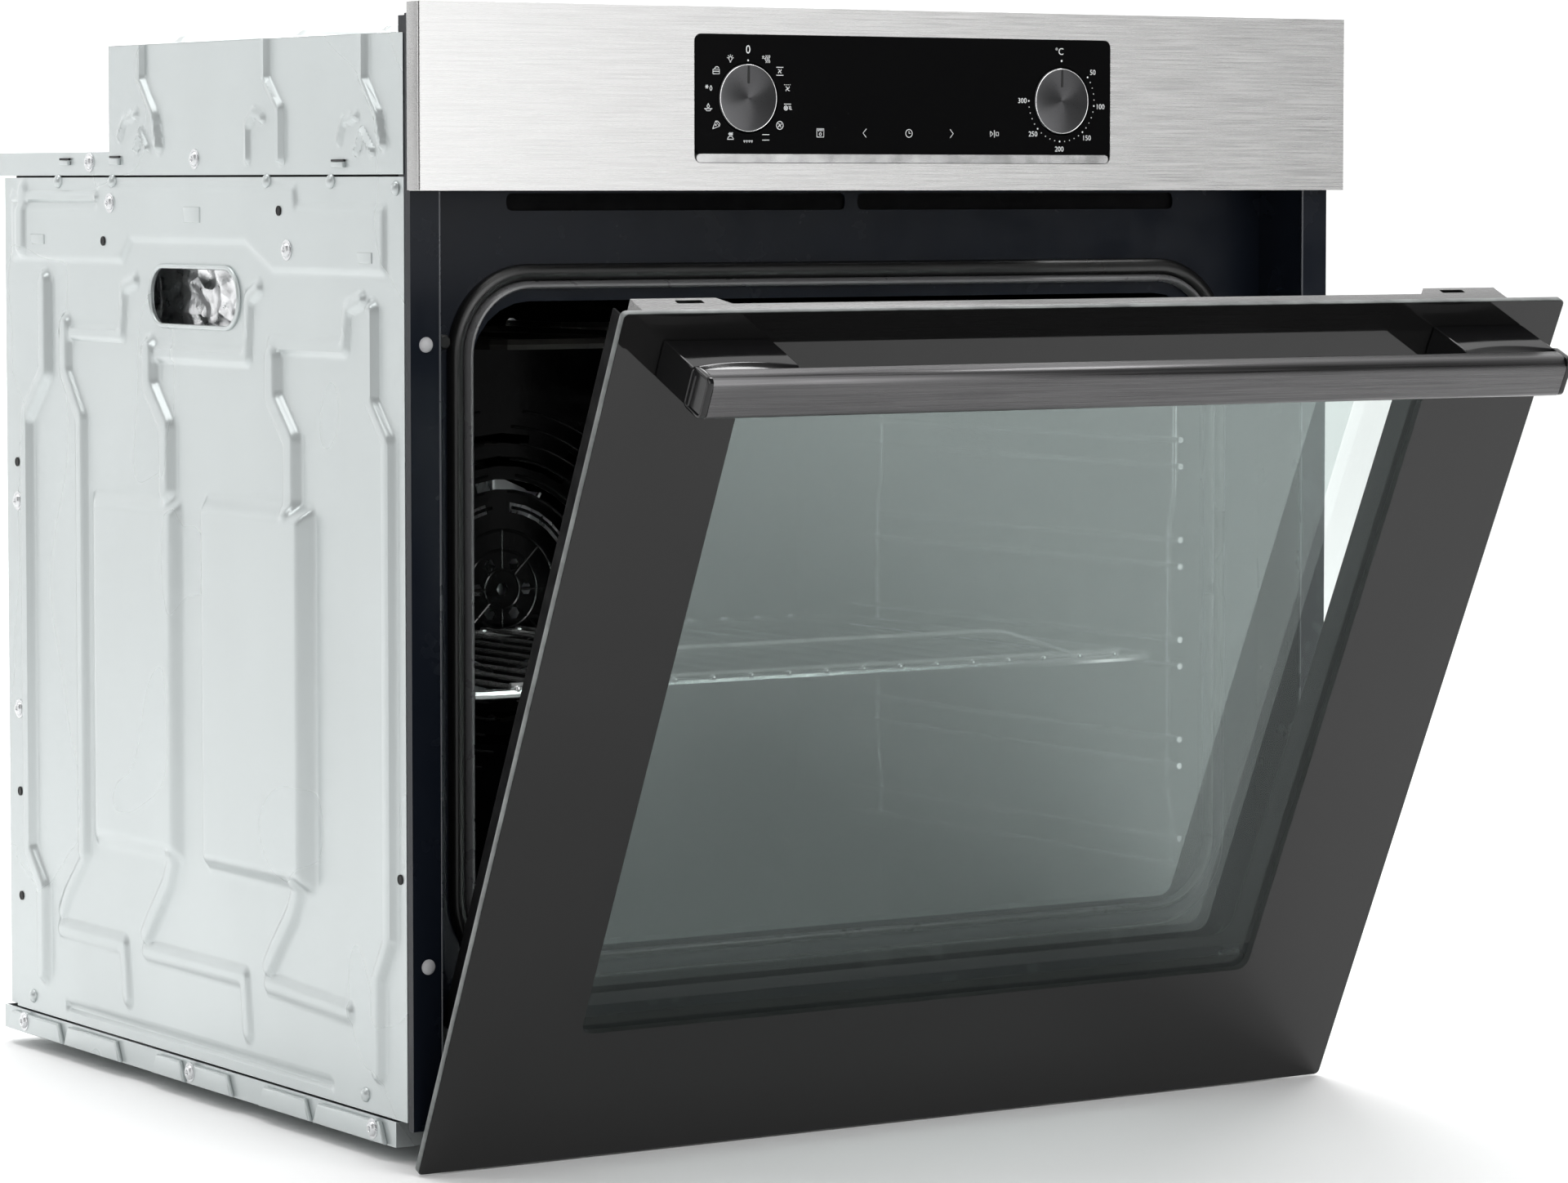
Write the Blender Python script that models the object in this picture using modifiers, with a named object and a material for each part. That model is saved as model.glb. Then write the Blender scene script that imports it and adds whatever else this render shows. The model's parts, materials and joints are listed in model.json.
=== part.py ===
"""Built-in single wall oven, door ajar: housing, cavity, controls, fans, hinges and door.

Frame: +X to the right seen from the front, the front faces -Y, +Z up.  The origin is the
centre of the housing's flat underside.  Depths are counted from the control panel's front
face.  The door is modelled closed and hangs on an empty that is turned about the hinges.
"""
import math

import bmesh
import bpy
from mathutils import Vector

# ---------------------------------------------------------------- driving dimensions
FRONT = -0.296                      # Y of the control panel's front face
SHEET = 0.0008                      # housing sheet steel
HOUSING_HALF = 0.2836               # half width over the side panels
HOUSING_FRONT, HOUSING_REAR = 0.0427, 0.5385
PANEL_REAR = 0.5225                 # rear edge of the side panels
SIDE_LOW, SIDE_TOP = 0.0145, 0.5050

PANEL_HALF, PANEL_DEPTH = 0.2975, 0.0116
PANEL_LOW, PANEL_TOP = 0.4979, 0.5938
LENS_HALF, LENS_LOW, LENS_TOP = 0.1340, 0.5173, 0.5794
TRIM_LOW = 0.5125
KNOB_X, KNOB_Z, KNOB_RADIUS = 0.1012, 0.5463, 0.0181
KNOB_FACE = -0.0010
SPINDLE_RADIUS = 0.0030

FRAME_HALF, FLANGE_INNER = 0.2961, 0.2790
FLANGE_FACE, FLANGE_BACK, RECESS = 0.0133, 0.0187, 0.0530
FRAME_SHEET = 0.0012
FRAME_LOW, FRAME_TOP = 0.0152, 0.5880

CAVITY_HALF, CAVITY_LOW, CAVITY_TOP = 0.2385, 0.1000, 0.4400
CAVITY_FRONT, CAVITY_REAR = 0.0546, 0.4775
MOUTH_CORNER, CAVITY_CORNER = 0.0350, 0.0240
INSULATION_GAP, INSULATION_THICK = 0.0030, 0.0200
FAN_Z = 0.2560
LAMP_X, LAMP_Z = 0.1950, 0.3950
ELEMENT_RADIUS = 0.00325
GRILL_Z, BOTTOM_ELEMENT_Z = 0.4150, 0.0915

RAIL_LEVELS, RAIL_LOW, RAIL_PITCH, RAIL_PAIR = 5, 0.1198, 0.0571, 0.0076
RAIL_X, RAIL_WIRE, RACK_POST_X, RACK_POST_WIRE = 0.2290, 0.0018, 0.2318, 0.0020
RAIL_FRONT, RAIL_REAR = 0.0560, 0.4000
SHELF_LEVEL = 2
SHELF_X, SHELF_WIRE, SHELF_FRONT, SHELF_REAR = 0.2262, 0.0025, 0.0800, 0.4200

TOP_PLATE_LOW, TOP_RIM = 0.5062, 0.5195
COOLING_DEPTH, COOLING_Z, COOLING_RADIUS, COOLING_HALF = 0.2470, 0.5410, 0.0272, 0.0958

DOOR_HALF, DOOR_LOW, DOOR_TOP = 0.2941, 0.0007, 0.4933
GLASS = 0.0040
PIVOT_DEPTH, PIVOT_Z = 0.0251, 0.0267
DOOR_AJAR = math.radians(24.9)
COLUMN_OUTER, COLUMN_INNER = 0.2745, 0.2505
COLUMN_LOW, COLUMN_TOP, COLUMN_FRONT, COLUMN_REAR = 0.0667, 0.4767, 0.0043, 0.0400
HANDLE_LOW, HANDLE_TOP = 0.4587, 0.4807
HANDLE_FACE, HANDLE_BACK, HANDLE_HALF = -0.0460, -0.0340, 0.2655
HINGE_INNER, HINGE_OUTER, HINGE_CHEEK = 0.2540, 0.2670, 0.0020
HINGE_REAR, HINGE_PIN = 0.2000, 0.0030
ROD_RISE = 0.0140                   # height of the spring rod above the pivot

FINISHES = {
    # name: (colour, roughness, metallic)
    "zinc": ((0.72, 0.75, 0.76), 0.38, 0.9),
    "enamel": ((0.012, 0.013, 0.016), 0.16, 0.0),
    "frame_paint": ((0.02, 0.023, 0.03), 0.35, 0.0),
    "brushed": ((0.62, 0.61, 0.60), 0.32, 1.0),
    "dark_steel": ((0.12, 0.12, 0.125), 0.34, 1.0),
    "chrome": ((0.8, 0.8, 0.8), 0.12, 1.0),
    "rubber": ((0.03, 0.03, 0.032), 0.6, 0.0),
    "black_glass": ((0.008, 0.008, 0.009), 0.05, 0.0),
    "door_glass": ((0.1, 0.12, 0.12), 0.04, 0.0),
    "black_gloss": ((0.01, 0.01, 0.011), 0.12, 0.0),
    "black_matt": ((0.02, 0.02, 0.02), 0.5, 0.0),
    "grey_trim": ((0.5, 0.5, 0.49), 0.4, 0.6),
    "board": ((0.03, 0.12, 0.05), 0.5, 0.0),
    "foil": ((0.75, 0.76, 0.77), 0.25, 1.0),
    "element": ((0.06, 0.055, 0.05), 0.45, 0.8),
    "clear": ((0.9, 0.9, 0.9), 0.03, 0.0),
    "aluminium": ((0.75, 0.76, 0.77), 0.3, 1.0),
}


# ---------------------------------------------------------------- scene and helpers
for old in list(bpy.data.objects):
    bpy.data.objects.remove(old, do_unlink=True)

PARTS = bpy.data.collections.new("wall_oven")
CUTTERS = bpy.data.collections.new("cutters")
for group in (PARTS, CUTTERS):
    bpy.context.scene.collection.children.link(group)

TURN = {"X": (math.pi / 2, 0, math.pi / 2), "Y": (math.pi / 2, 0, 0), "Z": (0, 0, 0)}
FACES = {"+X": (0, 1), "-X": (0, -1), "+Y": (1, 1), "-Y": (1, -1), "+Z": (2, 1), "-Z": (2, -1)}


def back(depth):
    """Y of a point that lies this depth behind the control panel's front face."""
    return FRONT + depth


def depths(near, far):
    """A Y range from two depths behind the front face."""
    return (FRONT + near, FRONT + far)


def both_sides(low, high, side):
    """An X range mirrored to the given side, -1 for left and 1 for right."""
    return tuple(sorted((side * low, side * high)))


def finish_material(key):
    """The Principled material of a finish, made on first use."""
    if key in bpy.data.materials:
        return bpy.data.materials[key]
    colour, roughness, metallic = FINISHES[key]
    made = bpy.data.materials.new(key)
    made.use_nodes = True
    shader = made.node_tree.nodes["Principled BSDF"]
    shader.inputs["Base Color"].default_value = (*colour, 1.0)
    shader.inputs["Roughness"].default_value = roughness
    shader.inputs["Metallic"].default_value = metallic
    return made


def add(name, mesh, finish, location=(0, 0, 0), turn=(0, 0, 0)):
    """Link a mesh as a named sub-part."""
    obj = bpy.data.objects.new(name, mesh)
    if finish:
        mesh.materials.append(finish_material(finish))
    obj.location = location
    obj.rotation_euler = turn
    PARTS.objects.link(obj)
    return obj


def soften(obj, width, segments=1):
    """Round the sharp edges."""
    bevel = obj.modifiers.new("edges", "BEVEL")
    bevel.width = width
    bevel.segments = segments
    bevel.limit_method = "ANGLE"
    return obj


def smooth(obj, angle=40):
    """Shade smooth, with edges sharper than the angle kept sharp."""
    obj.data.shade_smooth()
    obj.data.set_sharp_from_angle(angle=math.radians(angle))
    return obj


def box(name, finish, x, y, z):
    """A cuboid between the limits x, y and z."""
    middle = [(low + high) / 2 for low, high in (x, y, z)]
    mesh = bpy.data.meshes.new(name)
    bm = bmesh.new()
    bmesh.ops.create_cube(bm, size=1.0)
    bmesh.ops.scale(bm, vec=[high - low for low, high in (x, y, z)], verts=bm.verts)
    bm.to_mesh(mesh)
    bm.free()
    return add(name, mesh, finish, middle)


def tray(name, finish, x, y, z, open_sides, wall, outward=False, corner=0.0):
    """A thin box without its open sides; corner rounds the edges that run along Y."""
    made = box(name, finish, x, y, z)
    bm = bmesh.new()
    bm.from_mesh(made.data)
    doomed = []
    for side in open_sides:
        axis, sign = FACES[side]
        doomed += [face for face in bm.faces if face.normal[axis] * sign > 0.5]
    bmesh.ops.delete(bm, geom=doomed, context="FACES")
    if corner:
        along = [e for e in bm.edges
                 if abs(e.verts[0].co.y - e.verts[1].co.y) > 1e-6 and len(e.link_faces) == 2]
        bmesh.ops.bevel(bm, geom=along, offset=corner, segments=6, profile=0.5,
                        affect="EDGES", clamp_overlap=True)
    bm.to_mesh(made.data)
    bm.free()
    skin = made.modifiers.new("sheet", "SOLIDIFY")
    skin.thickness = wall
    skin.offset = 1.0 if outward else -1.0
    skin.use_even_offset = True
    return made


def rod(name, finish, radius, along, start, end, centre, sides=16):
    """A cylinder along an axis between start and end; centre gives the other two axes."""
    axis = "XYZ".index(along)
    place = list(centre)
    place.insert(axis, (start + end) / 2)
    mesh = bpy.data.meshes.new(name)
    bm = bmesh.new()
    bmesh.ops.create_cone(bm, cap_ends=True, segments=sides, radius1=radius, radius2=radius,
                          depth=abs(end - start))
    bm.to_mesh(mesh)
    bm.free()
    turn = {"X": (0, math.pi / 2, 0), "Y": (math.pi / 2, 0, 0), "Z": (0, 0, 0)}[along]
    return smooth(add(name, mesh, finish, place, turn))


def rounded(a, b, radius, steps=4):
    """Outline of a rectangle between the limits a and b with round corners."""
    points = []
    corners = ((a[1], b[0], 3), (a[1], b[1], 0), (a[0], b[1], 1), (a[0], b[0], 2))
    for u, v, quarter in corners:
        centre_u = u - radius if u == a[1] else u + radius
        centre_v = v - radius if v == b[1] else v + radius
        for step in range(steps + 1):
            angle = (quarter + step / steps) * math.pi / 2
            points.append((centre_u + radius * math.cos(angle),
                           centre_v + radius * math.sin(angle)))
    return points


def circle(u, v, radius, steps=16):
    """Outline of a circle."""
    return [(u + radius * math.cos(2 * math.pi * k / steps),
             v + radius * math.sin(2 * math.pi * k / steps)) for k in range(steps)]


def arc_slot(u, v, radius, width, start, end, steps=6):
    """Outline of a slot that follows an arc, angles in degrees."""
    inner, outer = radius - width / 2, radius + width / 2
    sweep = [math.radians(start + (end - start) * k / steps) for k in range(steps + 1)]
    run = [(u + outer * math.cos(t), v + outer * math.sin(t)) for t in sweep]
    return run + [(u + inner * math.cos(t), v + inner * math.sin(t)) for t in reversed(sweep)]


def mesh_of(curve_object):
    """Turn a curve object into a welded mesh object of the same name and place."""
    graph = bpy.context.evaluated_depsgraph_get()
    mesh = bpy.data.meshes.new_from_object(curve_object.evaluated_get(graph))
    bm = bmesh.new()
    bm.from_mesh(mesh)
    bmesh.ops.remove_doubles(bm, verts=bm.verts, dist=0.00001)
    bmesh.ops.recalc_face_normals(bm, faces=bm.faces)
    bm.to_mesh(mesh)
    bm.free()
    name = curve_object.name
    place = curve_object.matrix_world.copy()
    bpy.data.objects.remove(curve_object, do_unlink=True)
    made = bpy.data.objects.new(name, mesh)
    made.matrix_world = place
    PARTS.objects.link(made)
    return made


def prism(name, finish, outlines, across, low, high):
    """Flat outlines (holes or islands) stretched from low to high along the axis across.

    Outline points are (Y, Z) across X, (X, Z) across Y and (X, Y) across Z.
    """
    curve = bpy.data.curves.new(name, "CURVE")
    curve.dimensions = "2D"
    curve.fill_mode = "BOTH"
    curve.extrude = (high - low) / 2
    for outline in outlines:
        spline = curve.splines.new("POLY")
        spline.points.add(len(outline) - 1)
        for point, (u, v) in zip(spline.points, outline):
            point.co = (u, v, 0, 1)
        spline.use_cyclic_u = True
    holder = bpy.data.objects.new(name, curve)
    holder.location["XYZ".index(across)] = (low + high) / 2
    holder.rotation_euler = TURN[across]
    PARTS.objects.link(holder)
    bpy.context.view_layer.update()
    made = mesh_of(holder)
    if finish:
        made.data.materials.append(finish_material(finish))
    return smooth(made, 30)


def wire(name, finish, points, radius, cyclic=False, sides=6):
    """A round wire through the points."""
    curve = bpy.data.curves.new(name, "CURVE")
    curve.dimensions = "3D"
    curve.bevel_depth = radius
    curve.bevel_resolution = (sides - 4) // 2
    curve.use_fill_caps = True
    spline = curve.splines.new("POLY")
    spline.points.add(len(points) - 1)
    for point, place in zip(spline.points, points):
        point.co = (*place, 1)
    spline.use_cyclic_u = cyclic
    holder = bpy.data.objects.new(name, curve)
    PARTS.objects.link(holder)
    bpy.context.view_layer.update()
    made = mesh_of(holder)
    if finish:
        made.data.materials.append(finish_material(finish))
    return smooth(made, 60)


def bend(points, radius, steps=3):
    """The path through the points with its corners rounded."""
    path = [Vector(points[0])]
    for before, corner, after in zip(points, points[1:], points[2:]):
        here = Vector(corner)
        start = here + (Vector(before) - here).normalized() * radius
        end = here + (Vector(after) - here).normalized() * radius
        for step in range(steps + 1):
            t = step / steps
            path.append(start * (1 - t) ** 2 + here * 2 * t * (1 - t) + end * t ** 2)
    path.append(Vector(points[-1]))
    return path


def turned(name, finish, profile, steps, along_y, centre):
    """A turned piece: profile points (radius, distance towards the front) about a Y axis."""
    mesh = bpy.data.meshes.new(name)
    bm = bmesh.new()
    verts = [bm.verts.new((radius, 0, height)) for radius, height in profile]
    for first, second in zip(verts, verts[1:]):
        bm.edges.new((first, second))
    if profile[0][0] > 0:
        bm.edges.new((verts[-1], verts[0]))
    bm.to_mesh(mesh)
    bm.free()
    made = add(name, mesh, finish, (centre[0], along_y, centre[1]), (math.pi / 2, 0, 0))
    screw = made.modifiers.new("turn", "SCREW")
    screw.axis = "Z"
    screw.steps = screw.render_steps = steps
    screw.use_merge_vertices = True
    screw.merge_threshold = 0.00001
    return made


def combine(obj, tool, operation):
    """Keep the tool as a hidden Boolean operand of the object."""
    PARTS.objects.unlink(tool)
    CUTTERS.objects.link(tool)
    tool.name = f"{obj.name}.{operation.lower()}.{len(obj.modifiers)}"
    tool.hide_render = True
    tool.display_type = "WIRE"
    change = obj.modifiers.new(operation.lower(), "BOOLEAN")
    change.operation = operation
    change.solver = "EXACT"
    change.object = tool
    return obj


def cut(obj, tool):
    """Take the tool's volume out of the object."""
    return combine(obj, tool, "DIFFERENCE")


def join(obj, tool):
    """Weld the tool's volume to the object."""
    return combine(obj, tool, "UNION")


# ---------------------------------------------------------------- housing
def make_housing():
    """Outer sheet-metal casing: base, sides, back, top plate and upper cover."""
    tray("base_plate", "zinc", (-0.2845, 0.2845), depths(0.0535, HOUSING_REAR),
         (0.0, 0.0135), ["+Z"], 0.0010)
    hand_hole = rounded(depths(0.2279, 0.3371), (0.4225, 0.4557), 0.0165)
    for side, label, inside in ((-1, "left", "+X"), (1, "right", "-X")):
        panel = tray(f"side_panel_{label}", "zinc",
                     both_sides(HOUSING_HALF - 0.0024, HOUSING_HALF, side),
                     depths(HOUSING_FRONT, PANEL_REAR), (SIDE_LOW, SIDE_TOP), [inside], SHEET)
        low, high = both_sides(HOUSING_HALF - 0.01, HOUSING_HALF + 0.01, side)
        cut(panel, prism("hole", None, [hand_hole], "X", low, high))
    rear = tray("back_panel", "zinc", (-0.2800, 0.2800), depths(0.5230, HOUSING_REAR),
                (SIDE_LOW, SIDE_TOP), ["-Y"], SHEET)
    slots = [rounded((x, x + 0.006), (0.395, 0.455), 0.003, 2)
             for x in [-0.105 + 0.028 * k for k in range(8)]]
    cut(rear, prism("slots", None, slots, "Y", back(0.530), back(0.545)))
    plate = tray("top_plate", "zinc", (-HOUSING_HALF, HOUSING_HALF),
                 depths(0.0548, HOUSING_REAR), (TOP_PLATE_LOW, TOP_RIM), ["+Z"], SHEET)
    cut(plate, box("outlet", None, (-0.092, 0.092), depths(0.232, 0.262), (0.50, 0.515)))
    cover = tray("upper_cover", "zinc", (-0.2820, 0.2820), depths(0.0560, 0.3890),
                 (0.5074, 0.5790), ["-Z"], SHEET)
    slots = [rounded((x, x + 0.034), (0.530, 0.536), 0.003, 2)
             for x in [-0.220 + 0.045 * k for k in range(10)]]
    cut(cover, prism("slots", None, slots, "Y", back(0.380), back(0.400)))


def make_front_frame():
    """Enamelled front frame: side flanges, the recess behind the door, mouth and vents."""
    half = [(FRAME_HALF, FLANGE_BACK), (FRAME_HALF, FLANGE_FACE),
            (FLANGE_INNER, FLANGE_FACE), (FLANGE_INNER, RECESS)]
    t = FRAME_SHEET
    inner = [(FLANGE_INNER + t, RECESS + t), (FLANGE_INNER + t, FLANGE_FACE + t),
             (FRAME_HALF - t, FLANGE_FACE + t), (FRAME_HALF - t, FLANGE_BACK)]
    right = [(x, back(y)) for x, y in half]
    right_back = [(x, back(y)) for x, y in inner]
    left = [(-x, y) for x, y in reversed(right)]
    left_back = [(-x, y) for x, y in reversed(right_back)]
    frame = prism("front_frame", "frame_paint", [right + left + left_back + right_back],
                  "Z", FRAME_LOW, FRAME_TOP)
    mouth = rounded((-CAVITY_HALF, CAVITY_HALF), (CAVITY_LOW, CAVITY_TOP), MOUTH_CORNER, 6)
    vents = [rounded(x, (0.4873, 0.4965), 0.003, 2)
             for x in ((-0.217, -0.005), (0.003, 0.217))]
    hinge_ways = [rounded(both_sides(0.2525, 0.2685, side), (0.0165, 0.0620), 0.001, 1)
                  for side in (-1, 1)]
    cut(frame, prism("mouth", None, [mouth] + vents + hinge_ways, "Y",
                     back(RECESS - 0.005), back(RECESS + 0.005)))
    screw_holes = [circle(side * 0.2871, z, 0.0028, 12)
                   for side in (-1, 1) for z in (0.1000, 0.4194)]
    cut(frame, prism("screws", None, screw_holes, "Y",
                     back(FLANGE_FACE - 0.005), back(FLANGE_BACK + 0.002)))


# ---------------------------------------------------------------- cavity
def rear_openings(radii):
    """Round openings in the cavity's rear wall for the shaft, leads, lamp and probe."""
    shaft, lead, lamp, probe = radii
    ring_lead_z = FAN_Z - 0.0847
    return [circle(0, FAN_Z, shaft), circle(-0.015, ring_lead_z, lead, 10),
            circle(0.015, ring_lead_z, lead, 10), circle(-0.03, GRILL_Z, lead, 10),
            circle(0.03, GRILL_Z, lead, 10), circle(LAMP_X, LAMP_Z, lamp, 20),
            circle(-LAMP_X, LAMP_Z, probe, 10)]


def make_cavity():
    """Cavity liner, its foil-faced insulation and the door gasket."""
    liner = tray("cavity_liner", "enamel", (-CAVITY_HALF, CAVITY_HALF),
                 depths(CAVITY_FRONT, CAVITY_REAR), (CAVITY_LOW, CAVITY_TOP), ["-Y"], 0.001,
                 outward=True, corner=CAVITY_CORNER)
    cut(liner, prism("holes", None, rear_openings((0.008, 0.0045, 0.0185, 0.0035)), "Y",
                     back(CAVITY_REAR - 0.004), back(CAVITY_REAR + 0.004)))
    gap = INSULATION_GAP
    wool = tray("insulation", "foil", (-CAVITY_HALF - gap, CAVITY_HALF + gap),
                depths(0.0600, CAVITY_REAR + gap), (0.0840, CAVITY_TOP + gap), ["-Y"],
                INSULATION_THICK, outward=True)
    cut(wool, prism("holes", None, rear_openings((0.010, 0.0065, 0.0225, 0.0055)), "Y",
                    back(CAVITY_REAR), back(CAVITY_REAR + 0.030)))
    ring = [rounded((-0.2530, 0.2530), (0.0810, 0.4595), 0.048, 6),
            rounded((-0.2405, 0.2405), (0.0915, 0.4490), 0.0365, 6)]
    soften(prism("door_gasket", "rubber", ring, "Y", back(0.0463), back(0.0527)), 0.0022, 2)
    for side, label in ((-1, "left"), (1, "right")):
        soften(rod(f"door_buffer_{label}", "rubber", 0.0040, "Y", back(0.0468), back(0.0527),
                   (side * 0.2574, 0.4195), 12), 0.001)


def make_fan():
    """Slotted fan cover, fan wheel on its shaft, motor and the ring heating element."""
    cover = tray("fan_cover", "enamel", (-0.160, 0.160), depths(0.4380, 0.4770),
                 (0.112, 0.404), ["+Y"], 0.001)
    slots = [circle(0, FAN_Z, 0.004, 6)]
    slots += [circle(0.017 * math.cos(k * math.pi / 3), FAN_Z + 0.017 * math.sin(k * math.pi / 3),
                     0.004, 6) for k in range(6)]
    for ring, radius in enumerate((0.050, 0.064, 0.078, 0.092)):
        for k in range(4):
            start = 12 + 90 * k + 22 * ring
            slots.append(arc_slot(0, FAN_Z, radius, 0.006, start, start + 72))
    cut(cover, prism("slots", None, slots, "Y", back(0.430), back(0.445)))

    wheel = rod("fan_wheel", "aluminium", 0.068, "Y", back(0.4700), back(0.4712),
                (0, FAN_Z), 24)
    blades = []
    for k in range(12):
        angle = math.tau * k / 12
        along = Vector((math.cos(angle), math.sin(angle)))
        across = Vector((-along.y, along.x)) * 0.0008
        for_corners = ((along * 0.042, 1), (along * 0.066, 1), (along * 0.066, -1),
                       (along * 0.042, -1))
        blades.append([(point.x + across.x * sign, FAN_Z + point.y + across.y * sign)
                       for point, sign in for_corners])
    join(wheel, prism("blades", None, blades, "Y", back(0.4480), back(0.4704)))
    join(wheel, rod("shaft", None, 0.004, "Y", back(0.4450), back(0.5090), (0, FAN_Z), 12))

    motor = rod("fan_motor", "zinc", 0.030, "Y", back(0.5010), back(0.5215), (0, FAN_Z), 24)
    cut(motor, rod("bore", None, 0.0048, "Y", back(0.4950), back(0.5110), (0, FAN_Z), 16))

    radius, start = 0.086, -80
    arc = [math.radians(start + 340 * k / 30) for k in range(31)]
    loop = [(radius * math.cos(t), back(0.4580), FAN_Z + radius * math.sin(t)) for t in arc]
    lead_z = loop[0][2]
    lead = [(0.015, back(0.4985), lead_z), (0.015, back(0.4640), lead_z)]
    far_lead = [(-x, y, z) for x, y, z in reversed(lead)]
    wire("ring_element", "element", lead + loop[1:-1] + far_lead, ELEMENT_RADIUS)


def serpentine(half, near, far, inner):
    """Plan of a hairpin heating element: (X, depth) corners from one lead to the other."""
    left = [(-0.03, far), (-half, far), (-half, near), (-half * 0.6, near),
            (-half * 0.6, inner), (-half * 0.2, inner), (-half * 0.2, near)]
    return left + [(-x, y) for x, y in reversed(left)]


def make_heating():
    """Grill and bottom elements, lamp and temperature probe."""
    lead = 0.4985
    plan = [(-0.03, lead)] + serpentine(0.185, 0.120, 0.410, 0.365) + [(0.03, lead)]
    points = [(x, back(y), GRILL_Z) for x, y in plan]
    wire("grill_element", "element", bend(points, 0.018), ELEMENT_RADIUS)
    plan = [(-0.03, 0.470)] + serpentine(0.170, 0.110, 0.430, 0.385) + [(0.03, 0.470)]
    points = [(x, back(y), BOTTOM_ELEMENT_Z) for x, y in plan]
    wire("bottom_element", "element", bend(points, 0.016), ELEMENT_RADIUS)
    place = (LAMP_X, LAMP_Z)
    cup = [(0, -0.035), (0.0205, -0.035), (0.0205, 0), (0.0170, 0), (0.0170, -0.030), (0, -0.030)]
    turned("lamp_housing", "aluminium", list(reversed(cup)), 20, back(0.4802), place)
    bulb = [(0.0105 * math.sin(t), 0.0105 * math.cos(t))
            for t in [math.pi * 0.78 * k / 6 for k in range(7)]]
    turned("lamp_bulb", "clear", bulb + [(0.0060, -0.0200), (0, -0.0200)], 12,
           back(0.4880), place)
    dome = [(0.0235 * math.sin(t), 0.0110 * math.cos(t))
            for t in [math.pi / 2 * k / 5 for k in range(6)]]
    inner = [(0.0215 * math.sin(t), 0.0090 * math.cos(t))
             for t in [math.pi / 2 * k / 5 for k in range(5, -1, -1)]]
    turned("lamp_lens", "clear", dome + inner, 20, back(0.4772), place)
    rod("temperature_probe", "chrome", 0.0022, "Y", back(0.3800), back(0.4985),
        (-LAMP_X, LAMP_Z), 10)


def make_racks():
    """Wire side racks and the shelf that slides on them."""
    for side, label in ((-1, "left"), (1, "right")):
        posts = []
        for depth in (0.070, 0.370):
            path = [(side * RACK_POST_X, back(depth), z) for z in (0.1105, 0.3760)]
            posts.append(wire("post", None, path, RACK_POST_WIRE))
        rack = posts[0]
        rack.name = f"shelf_rack_{label}"
        rack.data.materials.append(finish_material("chrome"))
        join(rack, posts[1])
        for level in range(RAIL_LEVELS):
            middle = RAIL_LOW + RAIL_PITCH * level
            low, high = middle - RAIL_PAIR, middle + RAIL_PAIR
            x = side * RAIL_X
            for z in (low, high):
                path = [(x, back(RAIL_FRONT), z), (x, back(RAIL_REAR), z)]
                join(rack, wire("rail", None, path, RAIL_WIRE))

    middle = RAIL_LOW + RAIL_PITCH * SHELF_LEVEL
    z = middle - RAIL_PAIR + RAIL_WIRE + SHELF_WIRE + 0.0004
    near, far = back(SHELF_FRONT), back(SHELF_REAR)
    loop = rounded((-SHELF_X, SHELF_X), (near, far), 0.012, 3)
    shelf = wire("wire_shelf", "chrome", [(x, y, z) for x, y in loop], SHELF_WIRE, True, 8)
    count, spacing = 17, 0.0245
    for k in range(count):
        x = spacing * (k - (count - 1) / 2)
        join(shelf, wire("bar", None, [(x, near, z + 0.0030), (x, far, z + 0.0030)], 0.0014))
    top_bar = [(-0.200, near, z + 0.0042), (0.200, near, z + 0.0042)]
    join(shelf, wire("bar", None, top_bar, 0.0018))
    guard = [(-0.165, near, z + 0.0042), (-0.117, near, z + 0.0190),
             (0.117, near, z + 0.0190), (0.165, near, z + 0.0042)]
    join(shelf, wire("guard", None, bend(guard, 0.008, 2), 0.0020))


# ---------------------------------------------------------------- cooling and terminals
def make_cooling():
    """Air duct, cross-flow cooling fan with its motor, and the terminal box."""
    tray("air_duct", "zinc", (-0.222, 0.222), depths(0.0550, 0.3300), (0.4700, 0.5050),
         ["+Z", "-Y"], SHEET)
    centre = (back(COOLING_DEPTH), COOLING_Z)
    casing = rod("cooling_fan_casing", "zinc", COOLING_RADIUS, "X", -COOLING_HALF,
                 COOLING_HALF, centre, 24)
    cut(casing, rod("inside", None, COOLING_RADIUS - SHEET, "X", SHEET - COOLING_HALF,
                    COOLING_HALF - SHEET, centre, 24))
    cut(casing, box("outlet", None, (-0.090, 0.090), depths(0.234, 0.260), (0.505, 0.525)))
    cut(casing, box("inlet", None, (-0.090, 0.090), depths(0.262, 0.280), (0.541, 0.575)))
    cut(casing, rod("bearing", None, 0.0045, "X", -0.110, 0.110, centre, 12))
    star = []
    for k in range(32):
        radius = 0.0235 if k % 2 else 0.0200
        angle = math.tau * k / 32
        star.append((centre[0] + radius * math.cos(angle), centre[1] + radius * math.sin(angle)))
    rotor = prism("cooling_rotor", "aluminium", [star], "X", -0.0930, 0.0930)
    rotor_mesh_to_axis(rotor, (0, centre[0], centre[1]))
    join(rotor, rod("shaft", None, SPINDLE_RADIUS, "X", -0.0975, 0.1250, centre, 12))
    motor = rod("cooling_fan_motor", "zinc", 0.0220, "X", 0.1000, 0.1350, centre, 20)
    cut(motor, rod("bore", None, 0.0045, "X", 0.0950, 0.1270, centre, 12))
    terminal = soften(box("terminal_box", "black_matt", (0.150, 0.230), depths(0.430, 0.500),
                          (0.5074, 0.5370)), 0.002)
    cut(terminal, rod("inlet", None, 0.0060, "Y", back(0.470), back(0.510),
                      (0.190, 0.5215), 16))


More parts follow.
